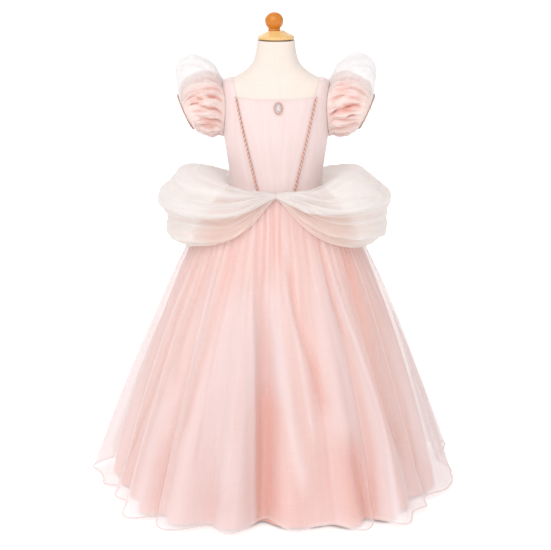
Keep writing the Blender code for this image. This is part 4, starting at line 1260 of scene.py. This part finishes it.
def satinLift(u, v, side):
    # listed creases, sharp at their bottoms, and finer rumples between them
    lift = 0.0
    for place, drift, start, end, depth, width in sleeve["creases"]:
        wander = 0.016 * noise.noise(Vector((v * 3.5, place * 31, 2.0 * side)))
        away = (u - place - drift * v - wander + 0.5) % 1.0 - 0.5
        along = soft((v - start) / 0.16) * soft((end - v) / 0.20)
        lift -= depth * along * math.exp(-math.hypot(away, 0.15 * width) / (0.75 * width))
    around = Vector((math.cos(math.tau * u), math.sin(math.tau * u), 0))
    lengthwise = Vector((0, 0, 1))
    lift += 0.0022 * noise.noise(around * 3.2 + lengthwise * (v * 5 + side * 7))
    lift *= 0.95
    lift += 0.0100 * (0.16 - abs(noise.noise(around * 5.5 + lengthwise * (v * 1.5 + side * 3))))
    lift += 0.0045 * (0.16 - abs(noise.noise(around * 11 + lengthwise * (v * 2.6 + side * 5))))
    lift *= 1.25 * (0.35 + 0.65 * math.sin(math.pi * min(1.0, 0.06 + 0.90 * v))) * soft((1.03 - v) / 0.14)
    return lift + 0.0010 + 0.0040 * bump(v - 0.90, 0.08)


def satinHollowShade(side):
    # painted shade: deeper in colour the lower the satin lies, in the valleys of its creases
    return lambda u, v: min(1.0, max(0.0, 0.02 - 75 * satinLift(u, v, side)))


def sheerLift(u, v, side):
    # soft gathers, uneven swells, and one long valley between the front and the top
    turn = math.tau * u
    crease = math.sin(7 * turn + side + 1.3 * math.sin(2 * turn) + 0.9 * v)
    spot = Vector((math.cos(turn) * 2.3, math.sin(turn) * 2.3, v * 4.0 + 9 * side))
    lift = 0.0040 * (crease + 1) / 2
    lift += 0.0042 * noise.noise(spot) + 0.0022 * noise.noise(spot * 2.6)
    lift += 0.0004 * math.sin(23 * turn + 6 * noise.noise(spot))
    upper = bump((u - 0.13 - 0.05 * v + 0.5) % 1.0 - 0.5, 0.016)
    lift -= 0.0050 * upper * soft((v - 0.05) / 0.2) * soft((1.0 - v) / 0.2)
    return (lift + 0.0006) * math.sin(math.pi * (0.02 + 0.90 * v))


def sheerVeilAndShade(side):
    # whiter over the shoulder, lowest toward the cuff; clear over the front, the back and underneath; whiter
    # on the ridges of its swells and clearer in their hollows, which is painted light and painted shade
    def veil(u, v):
        ridges = 28 * (sheerLift(u, v, side) - 0.003)
        reach = math.sin(math.tau * u) - 0.43 + 0.46 * v
        return min(1.0, max(0.0, soft(reach / 0.66) + ridges))
    return veil


def sleevePoint(side, cloth):
    liftAt = satinLift if cloth == "satin" else sheerLift

    def point(u, v):
        turn = math.tau * u
        centre, rise, depth = sleeveRing(cloth, v)
        ring = centre + rise * math.sin(turn) + Vector((0, -depth * math.cos(turn), 0))
        ring += (ring - centre).normalized() * liftAt(u, v, side)
        start = armholeRing(turn, sleeve["inset"][cloth])
        spot = start.lerp(ring, soft(v / sleeve["seamShare"]))
        return Vector((side * spot.x, spot.y, spot.z))
    return point


cuff = {
    "radius": 0.0024,
    "gap": -0.0004,      # below zero, so that the braid touches the satin's end
    "plyRadius": 0.00105,
    "offset": 0.00095,
    "turns": 60,
    "wave": 0.0022,
    "sway": 0.0008,
    "beads": 96,
    "beadRadius": 0.0010,
    "clusters": 9,
    "swell": 1.3,        # how much larger the beads are in the middle of a cluster
    "beadOut": 0.8,
    "beadAhead": 0.0006,
}


def buildSleeves():
    for name, side in sides:
        satin = makeCloth("sleeve_puff_" + name, finishes["blushSatin"],
                          ["sleeve_satin_" + name], (260, 60), (0.46, 0.135),
                          sleevePoint(side, "satin"), closed=True, wall=0.0008,
                          veil=satinHollowShade(side))
        sheer = makeCloth("sleeve_veil_" + name, finishes["whiteOrganza"],
                          ["sleeve_organza_" + name], (220, 70), (0.55, 0.16),
                          sleevePoint(side, "sheer"), closed=True,
                          veil=sheerVeilAndShade(side))
        centre, rise, depth = sleeveRing("satin", 1.0)
        normal = Vector((rise.z, 0, -rise.x)).normalized()
        middle = centre + normal * (cuff["radius"] + cuff["gap"])

        def ringAt(v, middle=middle, rise=rise, depth=depth, normal=normal, side=side):
            turn = math.tau * v
            spoke = rise * math.sin(turn) + Vector((0, -depth * math.cos(turn), 0))
            away = spoke.normalized()
            ruck = Vector((math.cos(turn) * 3, math.sin(turn) * 3, 4 * side))
            spot = middle + spoke + away * cuff["wave"] * noise.noise(ruck)
            spot += normal * cuff["sway"] * (0.5 + noise.noise(ruck * 1.7))
            return (Vector((side * spot.x, spot.y, spot.z)), Vector((side * away.x, away.y, away.z)),
                    Vector((side * normal.x, normal.y, normal.z)))

        for ply in (0, 1):
            def plyAt(v, ply=ply):
                spot, away, across = ringAt(v)
                swing = math.tau * cuff["turns"] * v + math.pi * ply
                spot = spot + (away * math.cos(swing) + across * math.sin(swing)) * cuff["offset"]
                return spot, away, across
            yarn = finishes["bronzeCord" if ply else "roseGoldCord"]
            sweepTube("cuff_braid_%s_%d" % (name, ply + 1), yarn,
                                   ["sleeve_cuff_" + name] if ply == 0 else [],
                                   (7, 620), plyAt, cuff["plyRadius"], closed=True)
        bm = bmesh.new()
        for n in range(cuff["beads"]):
            # the beads crowd and swell in clusters
            share = n / cuff["beads"]
            share += 0.010 * math.sin(math.tau * cuff["clusters"] * share + side)
            spot, away, across = ringAt(share % 1.0)
            near = max(0.0, math.cos(math.tau * cuff["clusters"] * share + 2.4 + side))
            size = cuff["beadRadius"] * (1.0 + cuff["swell"] * near ** 2)
            place = Matrix.Translation(spot + away * cuff["radius"] * cuff["beadOut"]
                                       + across * cuff["beadAhead"])
            bmesh.ops.create_icosphere(bm, subdivisions=2, radius=size, matrix=place)
        finishPiece(bm, "cuff_beads_" + name, finishes["roseGoldMetal"],
                                 [], sharp=70)


# Floor, lights and camera

studio = {
    "lens": 118.8,
    "cameraPlace": (-0.0011, -4.0, 1.385),
    "pitch": 12.9,
    "world": 0.54,
    "floorHalf": 45,
    "floorGlow": 0.22,       # the lit table of a pale packshot
    "lights": (  # azimuth and elevation it comes from, strength, width in degrees
        (-30, 42, 1.85, 65),
        (52, 30, 0.7, 90),
        (195, 34, 0.75, 60)),
}


def buildStudio():
    bm = bmesh.new()
    bmesh.ops.create_grid(bm, x_segments=1, y_segments=1, size=studio["floorHalf"])
    mesh = bpy.data.meshes.new("floor")
    bm.to_mesh(mesh)
    bm.free()
    material, tree, shader = startMaterial("paleFloor", {
        "Roughness": 0.9, "Specular IOR Level": 0.0, "Emission Color": (1, 1, 1, 1),
        "Emission Strength": studio["floorGlow"]})
    speckle = noiseAt(tree, stretch(tree, objectCoords(tree), (3, 3, 3)), 1.0)
    tree.links.new(blendColours(tree, speckle, (0.93, 0.93, 0.93, 1), (0.95, 0.95, 0.95, 1)),
                   shader.inputs["Base Color"])
    mesh.materials.append(material)
    floor = bpy.data.objects.new("floor", mesh)
    bpy.context.scene.collection.objects.link(floor)

    world = bpy.data.worlds.new("studio")
    world.use_nodes = True
    world.node_tree.nodes["Background"].inputs["Color"].default_value = (1, 1, 1, 1)
    world.node_tree.nodes["Background"].inputs["Strength"].default_value = studio["world"]
    bpy.context.scene.world = world
    for n, (azimuth, elevation, strength, width) in enumerate(studio["lights"]):
        lamp = bpy.data.lights.new("softLight%d" % n, "SUN")
        lamp.energy = strength
        lamp.angle = math.radians(width)
        item = bpy.data.objects.new(lamp.name, lamp)
        item.rotation_euler = (math.radians(90 - elevation), 0, math.radians(azimuth))
        bpy.context.scene.collection.objects.link(item)

    camera = bpy.data.cameras.new("camera")
    camera.lens = studio["lens"]
    camera.sensor_width = 36
    camera.clip_end = 200
    item = bpy.data.objects.new("camera", camera)
    item.location = studio["cameraPlace"]
    item.rotation_euler = (math.radians(90 - studio["pitch"]), 0, 0)
    bpy.context.scene.collection.objects.link(item)
    bpy.context.scene.camera = item
    bpy.context.scene.view_settings.view_transform = "Standard"
    bpy.context.scene.cycles.transparent_max_bounces = 32


buildForm()
print("dress form ready")
buildBodice()
buildCords()
buildBrooch()
print("bodice ready")
buildSkirts()
print("skirts ready")
buildPuffs()
print("puffs ready")
buildSleeves()
print("sleeves ready")
buildStudio()
print("studio ready")
